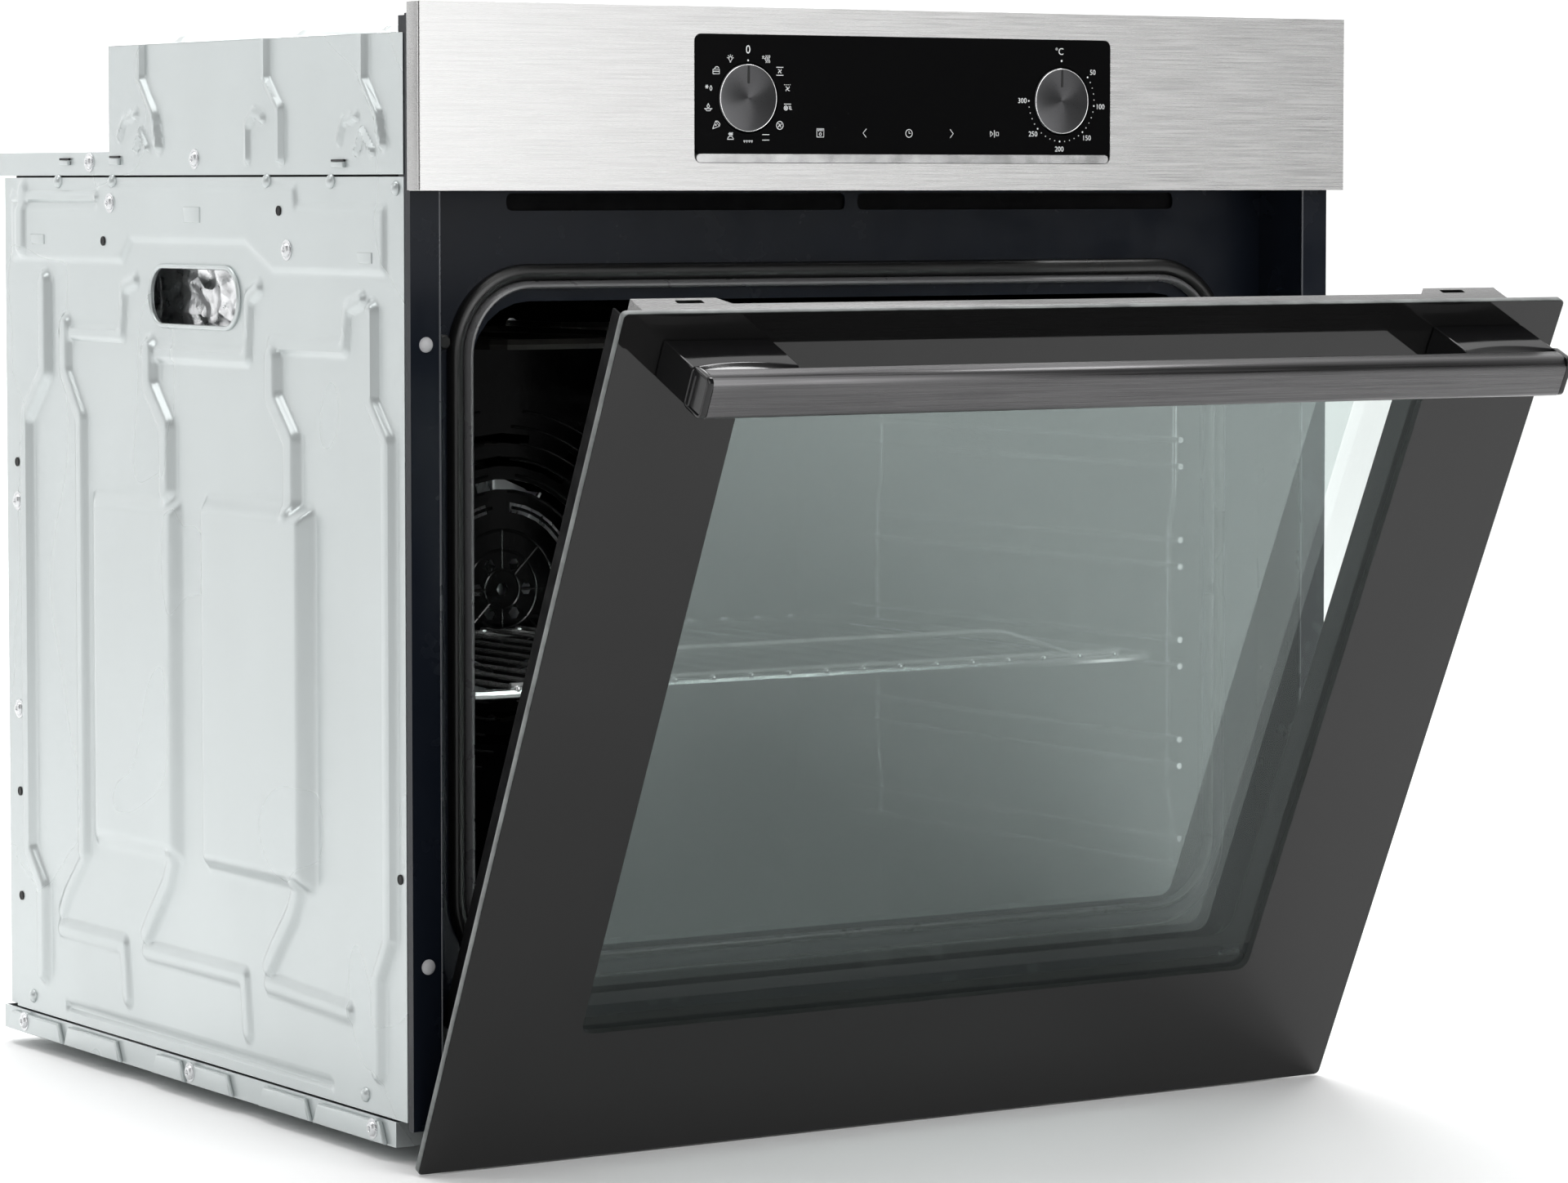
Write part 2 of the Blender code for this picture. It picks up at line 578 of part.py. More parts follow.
def rotor_mesh_to_axis(obj, axis_point):
    """Move an object's origin to a point on its axis without moving its shape."""
    shift = obj.matrix_world.inverted() @ Vector(axis_point)
    for vert in obj.data.vertices:
        vert.co -= shift
    obj.location = axis_point


# ---------------------------------------------------------------- controls
def make_controls():
    """Control panel, display, knobs with their spindles and switches."""
    panel = tray("control_panel", "brushed", (-PANEL_HALF, PANEL_HALF),
                 depths(0.0, PANEL_DEPTH), (PANEL_LOW, PANEL_TOP), ["+Y"], 0.0009)
    gap = 0.0003
    window = rounded((-LENS_HALF - gap, LENS_HALF + gap), (TRIM_LOW - gap, LENS_TOP + gap), 0.004)
    cut(panel, prism("window", None, [window], "Y", back(-0.005), back(0.005)))
    knob_places = ((-KNOB_X, "function"), (KNOB_X, "temperature"))
    holes = [circle(x, KNOB_Z, KNOB_RADIUS + 0.0007, 28) for x, _ in knob_places]
    lens = rounded((-LENS_HALF, LENS_HALF), (LENS_LOW, LENS_TOP), 0.0037)
    prism("display_lens", "black_glass", [lens] + holes, "Y", back(-0.0003), back(0.0027))
    strip_half = LENS_HALF - 0.001
    strip = rounded((-strip_half, strip_half), (TRIM_LOW, LENS_LOW - gap), 0.0022, 2)
    prism("display_trim", "chrome", [strip], "Y", back(0.0), back(0.0027))
    carrier = tray("control_carrier", "black_matt", (-0.150, 0.150), depths(0.0032, 0.0500),
                   (0.5030, 0.5870), ["+Y"], 0.0015)
    holes = [circle(x, KNOB_Z, KNOB_RADIUS + 0.0014, 20) for x, _ in knob_places]
    cut(carrier, prism("holes", None, holes, "Y", back(0.0), back(0.010)))
    box("control_board", "board", (-0.145, 0.145), depths(0.0444, 0.0460), (0.506, 0.584))
    for x, label in knob_places:
        switch = box(f"{label}_switch", "black_matt", (x - 0.012, x + 0.012),
                     depths(0.0262, 0.0440), (KNOB_Z - 0.012, KNOB_Z + 0.012))
        cut(switch, rod("bore", None, 0.0037, "Y", back(0.0200), back(0.0415), (x, KNOB_Z), 12))
        rod(f"{label}_spindle", "chrome", SPINDLE_RADIUS, "Y", back(0.0036), back(0.0405),
            (x, KNOB_Z), 12)
        outside = [(0, 0), (KNOB_RADIUS - 0.0008, 0), (KNOB_RADIUS, -0.0008),
                   (KNOB_RADIUS, -0.0190), (0.0166, -0.0190), (0.0166, -0.0030),
                   (0.0060, -0.0030), (0.0060, -0.0240), (0.0035, -0.0240),
                   (0.0035, -0.0042), (0, -0.0042)]
        knob = turned(f"{label}_knob", "dark_steel", outside, 32, back(KNOB_FACE), (x, KNOB_Z))
        cut(knob, box("pointer", None, (x - 0.0005, x + 0.0005), depths(-0.002, -0.0003),
                      (KNOB_Z + 0.008, KNOB_Z + 0.0168)))


# ---------------------------------------------------------------- hinges
def make_hinges():
    """Hinge casings with their pins, spring rods and springs; the arms are in the door."""
    y, z = back(PIVOT_DEPTH), PIVOT_Z
    nose = 0.0090
    turn = [math.radians(90 + 180 * k / 8) for k in range(9)]
    outline = [(y + nose * math.cos(t), z + nose * math.sin(t)) for t in turn]
    outline += [(back(HINGE_REAR), z - nose), (back(HINGE_REAR), 0.0600), (back(0.075), 0.0600)]
    for side, label in ((-1, "left"), (1, "right")):
        low, high = both_sides(HINGE_INNER, HINGE_OUTER, side)
        casing = prism(f"hinge_casing_{label}", "zinc", [outline], "X", low, high)
        slot = (low + HINGE_CHEEK, high - HINGE_CHEEK)
        cut(casing, box("slot", None, slot, depths(0.0, 0.060), (0.0, 0.1)))
        cut(casing, box("slot", None, slot, depths(0.050, HINGE_REAR - 0.003), (0.0205, 0.1)))
        join(casing, rod("pin", None, HINGE_PIN, "X", slot[0] - 0.001, slot[1] + 0.001,
                         (y, z), 16))
        middle = (low + high) / 2
        rod_z = z + ROD_RISE
        puller = rod(f"spring_rod_{label}", "zinc", 0.0015, "Y", back(0.0450), back(0.1600),
                     (middle, rod_z), 10)
        join(puller, rod("head", None, 0.0024, "Y", back(0.1585), back(0.1610),
                         (middle, rod_z), 10))
        turns, per_turn, pitch = 9, 8, 0.0060
        coil = []
        for k in range(turns * per_turn + 1):
            angle = math.tau * k / per_turn
            coil.append((middle + 0.0036 * math.cos(angle), back(0.100) + pitch * k / per_turn,
                         rod_z + 0.0036 * math.sin(angle)))
        wire(f"hinge_spring_{label}", "zinc", coil, 0.0005, sides=4)


# ---------------------------------------------------------------- door
def make_door():
    """The door, closed: three panes, frame, trims, handle and hinge arms."""
    pane = rounded((-DOOR_HALF, DOOR_HALF), (DOOR_LOW, DOOR_TOP), 0.0030, 3)
    soften(prism("outer_glass", "black_glass", [pane], "Y", back(0), back(GLASS)), 0.0004)
    pane = rounded((-0.2460, 0.2460), (0.0310, 0.4720), 0.004, 2)
    prism("middle_glass", "door_glass", [pane], "Y", back(0.0210), back(0.0250))
    pane = rounded((-0.2640, 0.2640), (0.0680, 0.4740), 0.008, 3)
    prism("inner_glass", "door_glass", [pane], "Y", back(0.0404), back(0.0444))
    wall = 0.0012
    for side, label in ((-1, "left"), (1, "right")):
        near, far = back(COLUMN_FRONT), back(COLUMN_REAR)
        outline = [(COLUMN_OUTER, near), (COLUMN_OUTER, far), (COLUMN_OUTER - wall, far),
                   (COLUMN_OUTER - wall, near + wall), (COLUMN_INNER + wall, near + wall),
                   (COLUMN_INNER + wall, far), (COLUMN_INNER, far), (COLUMN_INNER, near)]
        prism(f"door_column_{label}", "frame_paint", [[(side * x, y) for x, y in outline]],
              "Z", COLUMN_LOW, COLUMN_TOP)
    caps = [(-0.2713, back(0.0043)), (0.2713, back(0.0043)), (0.2713, back(0.0320)),
            (0.2226, back(0.0320)), (0.2165, back(0.0253)), (-0.2165, back(0.0253)),
            (-0.2226, back(0.0320)), (-0.2713, back(0.0320))]
    sockets = [rounded(both_sides(0.2320, 0.2475, side), depths(0.0262, 0.0297), 0.0005, 1)
               for side in (-1, 1)]
    prism("door_top_trim", "grey_trim", [caps] + sockets, "Z", 0.4787, 0.4855)
    tray("door_bottom_rail", "frame_paint", (-0.2480, 0.2480), depths(0.0043, 0.0400),
         (0.0050, 0.0620), ["+Z"], 0.0010)

    section = rounded(depths(HANDLE_FACE, HANDLE_BACK), (HANDLE_LOW, HANDLE_TOP), 0.0035, 4)
    hollow = rounded(depths(HANDLE_FACE + 0.0016, HANDLE_BACK - 0.0016),
                     (HANDLE_LOW + 0.0016, HANDLE_TOP - 0.0016), 0.0019, 2)
    prism("handle_bar", "dark_steel", [section, hollow], "X", -HANDLE_HALF, HANDLE_HALF)
    for side, label in ((-1, "left"), (1, "right")):
        low, high = both_sides(0.2080, 0.2690, side)
        neck = rounded(depths(HANDLE_BACK + 0.0003, -0.0003),
                       (HANDLE_LOW + 0.0005, HANDLE_TOP - 0.0015), 0.0030, 3)
        bracket = prism(f"handle_bracket_{label}", "black_gloss", [neck], "X", low, high)
        low, high = both_sides(HANDLE_HALF + 0.0003, 0.2690, side)
        cap = rounded(depths(HANDLE_FACE, HANDLE_BACK + 0.006), (HANDLE_LOW, HANDLE_TOP), 0.0035)
        join(bracket, prism("cap", None, [cap], "X", low, high))

    y, z, eye = back(PIVOT_DEPTH), PIVOT_Z, 0.0085
    outline = rounded((y - eye, y + eye), (z - eye, 0.2500), eye, 6)
    for side, label in ((-1, "left"), (1, "right")):
        low, high = both_sides(0.2590, 0.2620, side)
        prism(f"hinge_arm_{label}", "zinc", [outline, circle(y, z, HINGE_PIN + 0.0004)], "X",
              low, high)


DOOR_PIECES = ("outer_glass", "middle_glass", "inner_glass", "door_column_left",
               "door_column_right", "door_top_trim", "door_bottom_rail", "handle_bar",
               "handle_bracket_left", "handle_bracket_right", "hinge_arm_left",
               "hinge_arm_right")


def hang_door():
    """Hang the door's pieces on the hinge axis and swing them to the ajar angle."""
    pivot = Vector((0, back(PIVOT_DEPTH), PIVOT_Z))
    axis = bpy.data.objects.new("door_hinge_axis", None)
    axis.location = pivot
    axis.rotation_euler = (DOOR_AJAR, 0, 0)
    PARTS.objects.link(axis)
    for name in DOOR_PIECES:
        piece = bpy.data.objects[name]
        tools = [m.object for m in piece.modifiers if m.type == "BOOLEAN"]
        for obj in [piece] + tools:
            obj.parent = axis
            obj.location = obj.location - pivot


make_housing()
make_front_frame()
make_cavity()
make_fan()
make_heating()
make_racks()
make_cooling()
make_controls()
make_hinges()
make_door()
hang_door()
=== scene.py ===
"""Looks of the built-in wall oven: materials, pressed sheet metal, controls, glass, wires, studio."""
import json
import math

import bmesh
import bpy
import numpy as np
from mathutils import Matrix, Vector


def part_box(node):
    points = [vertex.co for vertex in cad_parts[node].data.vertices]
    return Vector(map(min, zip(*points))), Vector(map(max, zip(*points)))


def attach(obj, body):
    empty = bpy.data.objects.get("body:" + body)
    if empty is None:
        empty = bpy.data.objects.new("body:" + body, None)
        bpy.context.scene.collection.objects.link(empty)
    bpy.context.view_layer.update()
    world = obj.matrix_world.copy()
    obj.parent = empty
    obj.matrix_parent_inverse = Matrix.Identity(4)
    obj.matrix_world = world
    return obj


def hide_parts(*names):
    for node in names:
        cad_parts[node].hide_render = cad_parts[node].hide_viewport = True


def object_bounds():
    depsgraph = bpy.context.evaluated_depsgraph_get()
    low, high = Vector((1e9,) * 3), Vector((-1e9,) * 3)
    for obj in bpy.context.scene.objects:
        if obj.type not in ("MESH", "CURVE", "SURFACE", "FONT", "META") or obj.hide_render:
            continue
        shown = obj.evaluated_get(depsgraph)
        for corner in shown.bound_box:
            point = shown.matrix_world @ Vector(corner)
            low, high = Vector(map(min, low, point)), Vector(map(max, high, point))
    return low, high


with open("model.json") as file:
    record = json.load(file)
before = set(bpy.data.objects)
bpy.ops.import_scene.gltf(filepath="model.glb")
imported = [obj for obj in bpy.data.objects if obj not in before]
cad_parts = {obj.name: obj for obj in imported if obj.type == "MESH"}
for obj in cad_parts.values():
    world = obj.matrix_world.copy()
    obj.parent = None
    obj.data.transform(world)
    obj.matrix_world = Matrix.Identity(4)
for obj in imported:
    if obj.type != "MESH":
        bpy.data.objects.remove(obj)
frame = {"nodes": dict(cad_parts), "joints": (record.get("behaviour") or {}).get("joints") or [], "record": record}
CAD_BOX = [list(corner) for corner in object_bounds()]


# ---------------------------------------------------------------- places read from the frame
def limits(node, axis):
    """Lowest and highest coordinate of a CAD node along X, Y or Z (0, 1, 2)."""
    low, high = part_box(node)
    return low[axis], high[axis]


def joint(name):
    """A joint of the record."""
    return next(j for j in frame["joints"] if j["name"] == name)


FRONT = limits("control_panel", 1)[0]
PIVOT = Vector(joint("door_hinge")["pos_m"])
AJAR = -math.radians(joint("door_hinge")["range_deg"][0])
DOOR = Matrix.Translation(PIVOT) @ Matrix.Rotation(AJAR, 4, "X") @ Matrix.Translation(-PIVOT)
FAN_X, _, FAN_Z = joint("oven_fan_spin")["pos_m"]
KNOB_X, _, KNOB_Z = joint("temperature_turn")["pos_m"]
KNOB_RADIUS = (limits("function_knob", 0)[1] - limits("function_knob", 0)[0]) / 2


def back(depth):
    """Y of a point that lies this depth behind the control panel's front face."""
    return FRONT + depth


# ---------------------------------------------------------------- camera
def make_camera():
    """The photograph's viewpoint: from the front left, near the panel's height, long lens."""
    data = bpy.data.cameras.new("camera")
    data.sensor_width = 36.0
    data.lens = 123.58
    data.shift_y = -0.05
    camera = bpy.data.objects.new("camera", data)
    bpy.context.scene.collection.objects.link(camera)
    camera.location = (-1.6196, -2.6891, 0.5006)
    heading, tilt = 0.5721, -0.0608
    aim = Vector((math.sin(heading) * math.cos(tilt), math.cos(heading) * math.cos(tilt),
                  math.sin(tilt)))
    camera.rotation_euler = aim.to_track_quat("-Z", "Y").to_euler()
    bpy.context.scene.camera = camera


# ---------------------------------------------------------------- material helpers
class Paint:
    """A Principled material under construction, with helpers for procedural detail."""

    def __init__(self, name, colour, roughness, metallic=0.0, **fixed):
        self.material = bpy.data.materials.new(name)
        self.material.use_nodes = True
        self.tree = self.material.node_tree
        self.shader = self.tree.nodes["Principled BSDF"]
        self.shader.inputs["Base Color"].default_value = (*colour, 1)
        self.shader.inputs["Roughness"].default_value = roughness
        self.shader.inputs["Metallic"].default_value = metallic
        for socket, value in fixed.items():
            self.shader.inputs[socket.replace("_", " ")].default_value = value
        self.colour, self.roughness = colour, roughness
        self.last_normal = None

    def node(self, kind, **values):
        made = self.tree.nodes.new(kind)
        for key, value in values.items():
            if key in made.inputs:
                made.inputs[key].default_value = value
            else:
                setattr(made, key, value)
        return made

    def link(self, source, target):
        self.tree.links.new(source, target)

    def place(self, scale):
        """Object coordinates stretched by a scale per axis."""
        coordinates = self.node("ShaderNodeTexCoord")
        mapping = self.node("ShaderNodeMapping", Scale=scale)
        self.link(coordinates.outputs["Object"], mapping.inputs["Vector"])
        return mapping.outputs["Vector"]

    def noise(self, scale, detail=3.0, rough=0.55):
        made = self.node("ShaderNodeTexNoise", Scale=1.0, Detail=detail, Roughness=rough)
        self.link(self.place(scale), made.inputs["Vector"])
        return made.outputs["Fac"]

    def cells(self, scale, feature="F1", output="Distance"):
        made = self.node("ShaderNodeTexVoronoi", Scale=1.0)
        made.feature = feature
        self.link(self.place(scale), made.inputs["Vector"])
        return made.outputs[output]

    def spread(self, value, low, high, at=(0.3, 0.7)):
        """Map a 0..1 texture value to a range."""
        made = self.node("ShaderNodeMapRange")
        made.inputs["From Min"].default_value, made.inputs["From Max"].default_value = at
        made.inputs["To Min"].default_value, made.inputs["To Max"].default_value = low, high
        self.link(value, made.inputs["Value"])
        return made.outputs["Result"]

    def vary_roughness(self, value, amount, at=(0.3, 0.7)):
        low, high = self.roughness - amount, self.roughness + amount
        self.link(self.spread(value, low, high, at), self.shader.inputs["Roughness"])
        return self

    def vary_colour(self, value, other, at=(0.3, 0.7)):
        """Blend from the base colour to another by a texture value."""
        mix = self.node("ShaderNodeMix", data_type="RGBA")
        ends = {"A": self.colour, "B": other}
        for socket in mix.inputs:
            if socket.type == "RGBA" and socket.name in ends:
                socket.default_value = (*ends[socket.name], 1)
        self.link(self.spread(value, 0.0, 1.0, at), mix.inputs["Factor"])
        colour = next(o for o in mix.outputs if o.type == "RGBA")
        self.link(colour, self.shader.inputs["Base Color"])
        return self

    def bump(self, value, distance, strength=1.0):
        made = self.node("ShaderNodeBump", Distance=distance, Strength=strength)
        self.link(value, made.inputs["Height"])
        if self.last_normal:
            self.link(self.last_normal, made.inputs["Normal"])
        self.last_normal = made.outputs["Normal"]
        self.link(self.last_normal, self.shader.inputs["Normal"])
        return self

    def grain(self, along):
        """Brushing direction for the anisotropic highlight: lines around this axis."""
        tangent = self.node("ShaderNodeTangent")
        tangent.direction_type = "RADIAL"
        tangent.axis = along
        self.link(tangent.outputs["Tangent"], self.shader.inputs["Tangent"])
        return self


def zinc(name="galvanised", colour=(0.500, 0.536, 0.536), roughness=0.28):
    """Bright zinc-coated sheet with a faintly mottled colour and sheen."""
    p = Paint(name, colour, roughness, 0.55)
    p.vary_colour(p.noise((9, 9, 5), 2), tuple(c * 1.06 for c in colour))
    p.vary_roughness(p.noise((7, 7, 5), 1), 0.02)
    return p.material


def simple_finish(name, colour, roughness, metallic=0.0, mottle=None, wobble=None, ripple=None,
                  **fixed):
    """Material with optional noise: mottle (scale, other colour), wobble (scale, roughness
    amount) and ripple (scale, detail, distance, strength)."""
    p = Paint(name, colour, roughness, metallic, **fixed)
    if mottle:
        p.vary_colour(p.noise((mottle[0],) * 3), mottle[1])
    if wobble:
        p.vary_roughness(p.noise((wobble[0],) * 3), wobble[1])
    if ripple:
        scale, detail, distance, strength = ripple
        p.bump(p.noise((scale,) * 3, detail), distance, strength)
    return p.material


def brushed_steel(name="brushed_stainless", shade=0.69):
    """Stainless control panel with horizontal brushing."""
    p = Paint(name, (shade * 1.005, shade, shade * 0.995), 0.27, 1.0, Anisotropic=0.7)
    streaks = p.noise((14.0, 2600, 2600), 3, 0.6)
    p.vary_colour(streaks, (shade * 1.07, shade * 1.065, shade * 1.06), (0.35, 0.65))
    p.vary_roughness(p.noise((20.0, 1500, 1500), 3), 0.04)
    p.bump(streaks, 0.00002, 0.16)
    return p.grain("Z").material


def dark_brushed_steel():
    """Handle bar: dark steel brushed along its length."""
    p = Paint("dark_brushed_steel", (0.085, 0.084, 0.086), 0.30, 1.0, Anisotropic=0.5)
    streaks = p.noise((16.0, 2200, 2200), 3, 0.6)
    p.vary_colour(streaks, (0.12, 0.118, 0.12), (0.35, 0.65))
    p.vary_roughness(p.noise((8.0, 1600, 1600), 3), 0.08)
    p.bump(streaks, 0.00003, 0.35)
    return p.grain("X").material


def spun_metal():
    """Knob faces: dark metal turned on a lathe."""
    p = Paint("spun_dark_metal", (0.085, 0.085, 0.088), 0.30, 1.0, Anisotropic=0.9)
    p.vary_roughness(p.noise((2500, 2500, 2500), 2), 0.03)
    return p.grain("Y").material


def frame_enamel():
    """Blue-black enamel of the front frame, slightly rippled."""
    p = Paint("frame_enamel", (0.0045, 0.0062, 0.0100), 0.24, 0.0, Specular_IOR_Level=0.22)
    p.vary_roughness(p.noise((40, 40, 40)), 0.05)
    p.vary_colour(p.noise((6, 6, 6)), (0.006, 0.0080, 0.0130))
    return p.bump(p.noise((120, 120, 120), 3), 0.00006, 0.25).material


def cavity_enamel():
    """Glossy black baked enamel with fine light flecks."""
    p = Paint("cavity_enamel", (0.0010, 0.0011, 0.0012), 0.10, 0.0, Specular_IOR_Level=0.07)
    flecks = p.cells((900, 900, 900))
    p.vary_colour(flecks, (0.03, 0.031, 0.033), (0.07, 0.03))
    p.vary_roughness(p.noise((25, 25, 25)), 0.04)
    return p.bump(p.noise((70, 70, 70), 3), 0.0001, 0.3).material


def rubber():
    """Dark silicone with a soft sheen."""
    p = Paint("gasket_rubber", (0.006, 0.006, 0.006), 0.30, 0.0, Specular_IOR_Level=0.5)
    p.vary_roughness(p.noise((12, 12, 12), 1), 0.03)
    return p.material


def black_plastic(name, colour=(0.006, 0.006, 0.0063), roughness=0.10, gloss=0.4):
    """Moulded plastic or lacquer, black unless told otherwise."""
    return simple_finish(name, colour, roughness, wobble=(80, roughness * 0.25),
                         ripple=(600, 2, 0.00002, 0.2), Specular_IOR_Level=gloss)


def printed_black():
    """Glass with black ceramic print behind it."""
    p = Paint("printed_glass", (0.0060, 0.0060, 0.0060), 0.035, Specular_IOR_Level=0.40)
    p.vary_colour(p.noise((5, 5, 5)), (0.0080, 0.0078, 0.0078))
    return p.vary_roughness(p.noise((30, 30, 30)), 0.01).material


def foil():
    """Crinkled aluminium foil."""
    p = Paint("foil", (0.80, 0.81, 0.82), 0.32, 1.0)
    p.vary_roughness(p.noise((90, 90, 90)), 0.1)
    p.bump(p.cells((55, 55, 90)), 0.004, 0.6)
    return p.bump(p.noise((160, 160, 160), 5), 0.0015, 0.5).material


def aluminium():
    """Mill-finish aluminium."""
    p = Paint("aluminium", (0.70, 0.71, 0.72), 0.30, 1.0)
    p.vary_roughness(p.noise((90, 400, 90)), 0.07)
    return p.bump(p.noise((500, 900, 500), 2), 0.00003, 0.3).material


def circuit_board():
    """Green solder mask."""
    p = Paint("solder_mask", (0.01, 0.09, 0.03), 0.35)
    p.vary_colour(p.cells((90, 90, 90)), (0.02, 0.13, 0.05), (0.2, 0.5))
    return p.bump(p.cells((200, 200, 200)), 0.0001, 0.3).material


def pane_glass(name, tint, haze, mirror_share):
    """Clear pane: mirrors by its Fresnel share, lets the rest through with a slight tint."""
    p = Paint(name, (0.30, 0.36, 0.355), 0.02, 0.0)
    tree = p.tree
    clear = p.node("ShaderNodeBsdfTransparent", Color=(*tint, 1))
    gloss = p.node("ShaderNodeBsdfGlossy", Roughness=0.012)
    gloss.inputs["Color"].default_value = (0.90, 1.0, 0.985, 1)
    facing = p.node("ShaderNodeLayerWeight", Blend=0.5)
    steep = p.node("ShaderNodeMath", operation="POWER")
    steep.inputs[1].default_value = 5.0
    share = p.node("ShaderNodeMapRange")
    share.inputs["To Min"].default_value = mirror_share
    veil = p.node("ShaderNodeMixShader", Fac=haze)
    mirror = p.node("ShaderNodeMixShader")
    p.link(clear.outputs[0], veil.inputs[1])
    p.link(p.shader.outputs[0], veil.inputs[2])
    p.link(facing.outputs["Facing"], steep.inputs[0])
    p.link(steep.outputs[0], share.inputs["Value"])
    p.link(share.outputs["Result"], mirror.inputs["Fac"])
    p.link(veil.outputs[0], mirror.inputs[1])
    p.link(gloss.outputs[0], mirror.inputs[2])
    p.link(mirror.outputs[0], tree.nodes["Material Output"].inputs["Surface"])
    p.vary_roughness(p.noise((10, 10, 10)), 0.01)
    return p.material


# ---------------------------------------------------------------- mesh helpers
def piece(name, mesh, finish, body, replaces=(), matrix=None, sharp=35):
    """Link a mesh as a named piece that rides on a body."""
    obj = bpy.data.objects.new(name, mesh)
    bpy.context.scene.collection.objects.link(obj)
    mesh.materials.clear()
    mesh.materials.append(finish)
    mesh.shade_smooth()
    mesh.set_sharp_from_angle(angle=math.radians(sharp))
    if matrix is not None:
        obj.matrix_world = matrix
    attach(obj, body)
    if replaces:
        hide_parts(*replaces)
    return obj


def mesh_from(bm, name):
    """Finish a bmesh into a mesh."""
    mesh = bpy.data.meshes.new(name)
    bm.normal_update()
    bm.to_mesh(mesh)
    bm.free()
    return mesh


def add_mesh(bm, mesh, matrix=None):
    """Append a mesh to a bmesh, moved by a matrix."""
    before = len(bm.verts)
    bm.from_mesh(mesh)
    if matrix is not None:
        bm.verts.ensure_lookup_table()
        bmesh.ops.transform(bm, matrix=matrix, verts=bm.verts[before:])


def rounded(a, b, radius, steps=8):
    """Outline of a rectangle between the limits a and b with round corners."""
    points = []
    corners = ((a[1], b[0], 3), (a[1], b[1], 0), (a[0], b[1], 1), (a[0], b[0], 2))
    for u, v, quarter in corners:
        centre_u = u - radius if u == a[1] else u + radius
        centre_v = v - radius if v == b[1] else v + radius
        for step in range(steps + 1):
            angle = (quarter + step / steps) * math.pi / 2
            points.append((centre_u + radius * math.cos(angle),
                           centre_v + radius * math.sin(angle)))
    return points


def circle(u, v, radius, steps=32):
    """Outline of a circle."""
    return [(u + radius * math.cos(math.tau * k / steps),
             v + radius * math.sin(math.tau * k / steps)) for k in range(steps)]


TURN = {"X": (math.pi / 2, 0, math.pi / 2), "Y": (math.pi / 2, 0, 0), "Z": (0, 0, 0)}


def prism(outlines, across, low, high, bevel=0.0, segments=2):
    """Mesh of flat outlines (with holes) between low and high along an axis, edges rounded."""
    curve = bpy.data.curves.new("outline", "CURVE")
    curve.dimensions = "2D"
    curve.fill_mode = "BOTH"
    curve.extrude = (high - low) / 2 - bevel
    curve.bevel_depth = bevel
    curve.bevel_resolution = segments
    curve.offset = -bevel
    for outline in outlines:
        spline = curve.splines.new("POLY")
        spline.points.add(len(outline) - 1)
        for point, (u, v) in zip(spline.points, outline):
            point.co = (u, v, 0, 1)
        spline.use_cyclic_u = True
    holder = bpy.data.objects.new("outline", curve)
    holder.location["XYZ".index(across)] = (low + high) / 2
    holder.rotation_euler = TURN[across]
    bpy.context.scene.collection.objects.link(holder)
    bpy.context.view_layer.update()
    return solid_mesh(holder)


def solid_mesh(holder):
    """Welded mesh of a curve object, in place; the curve is removed."""
    graph = bpy.context.evaluated_depsgraph_get()
    mesh = bpy.data.meshes.new_from_object(holder.evaluated_get(graph))
    mesh.transform(holder.matrix_world)
    bpy.data.objects.remove(holder, do_unlink=True)
    bm = bmesh.new()
    bm.from_mesh(mesh)
    bmesh.ops.remove_doubles(bm, verts=bm.verts, dist=0.00001)
    bmesh.ops.recalc_face_normals(bm, faces=bm.faces)
    bm.to_mesh(mesh)
    bm.free()
    return mesh


def wire(paths, radius, cyclic=False, resolution=4):
    """Mesh of round wires through lists of points."""
    curve = bpy.data.curves.new("wire", "CURVE")
    curve.dimensions = "3D"
    curve.bevel_depth = radius
    curve.bevel_resolution = resolution
    curve.use_fill_caps = True
    for points in paths:
        spline = curve.splines.new("POLY")
        spline.points.add(len(points) - 1)
        for point, place in zip(spline.points, points):
            point.co = (*place, 1)
        spline.use_cyclic_u = cyclic
    holder = bpy.data.objects.new("wire", curve)
    bpy.context.scene.collection.objects.link(holder)
    bpy.context.view_layer.update()
    return solid_mesh(holder)


def bend(points, radius, steps=6):
    """The path through the points with its corners rounded."""
    path = [Vector(points[0])]
    for before, corner, after in zip(points, points[1:], points[2:]):
        here = Vector(corner)
        start = here + (Vector(before) - here).normalized() * radius
        end = here + (Vector(after) - here).normalized() * radius
        for step in range(steps + 1):
            t = step / steps
            path.append(start * (1 - t) ** 2 + here * 2 * t * (1 - t) + end * t ** 2)
    path.append(Vector(points[-1]))
    return path


def lathe(profile, steps=64):
    """Closed turned mesh about Z from (radius, height) points, top to bottom."""
    bm = bmesh.new()
    rings = []
    for radius, height in profile:
        if radius < 1e-7:
            rings.append([bm.verts.new((0, 0, height))])
            continue
        rings.append([bm.verts.new((radius * math.cos(math.tau * k / steps),
                                    radius * math.sin(math.tau * k / steps), height))
                      for k in range(steps)])
    for upper, lower in zip(rings, rings[1:]):
        for k in range(steps):
            n = (k + 1) % steps
            corners = [upper[k % len(upper)], lower[k % len(lower)],
                       lower[n % len(lower)], upper[n % len(upper)]]
            face = list(dict.fromkeys(corners))
            if len(face) > 2:
                bm.faces.new(face)
    bmesh.ops.recalc_face_normals(bm, faces=bm.faces)
    return mesh_from(bm, "turned")


def towards(direction, place, spin=0.0):
    """Matrix that turns +Z to a direction and moves to a place."""
    turn = Vector(direction).to_track_quat("Z", "Y").to_matrix().to_4x4()
    return Matrix.Translation(place) @ turn @ Matrix.Rotation(spin, 4, "Z")


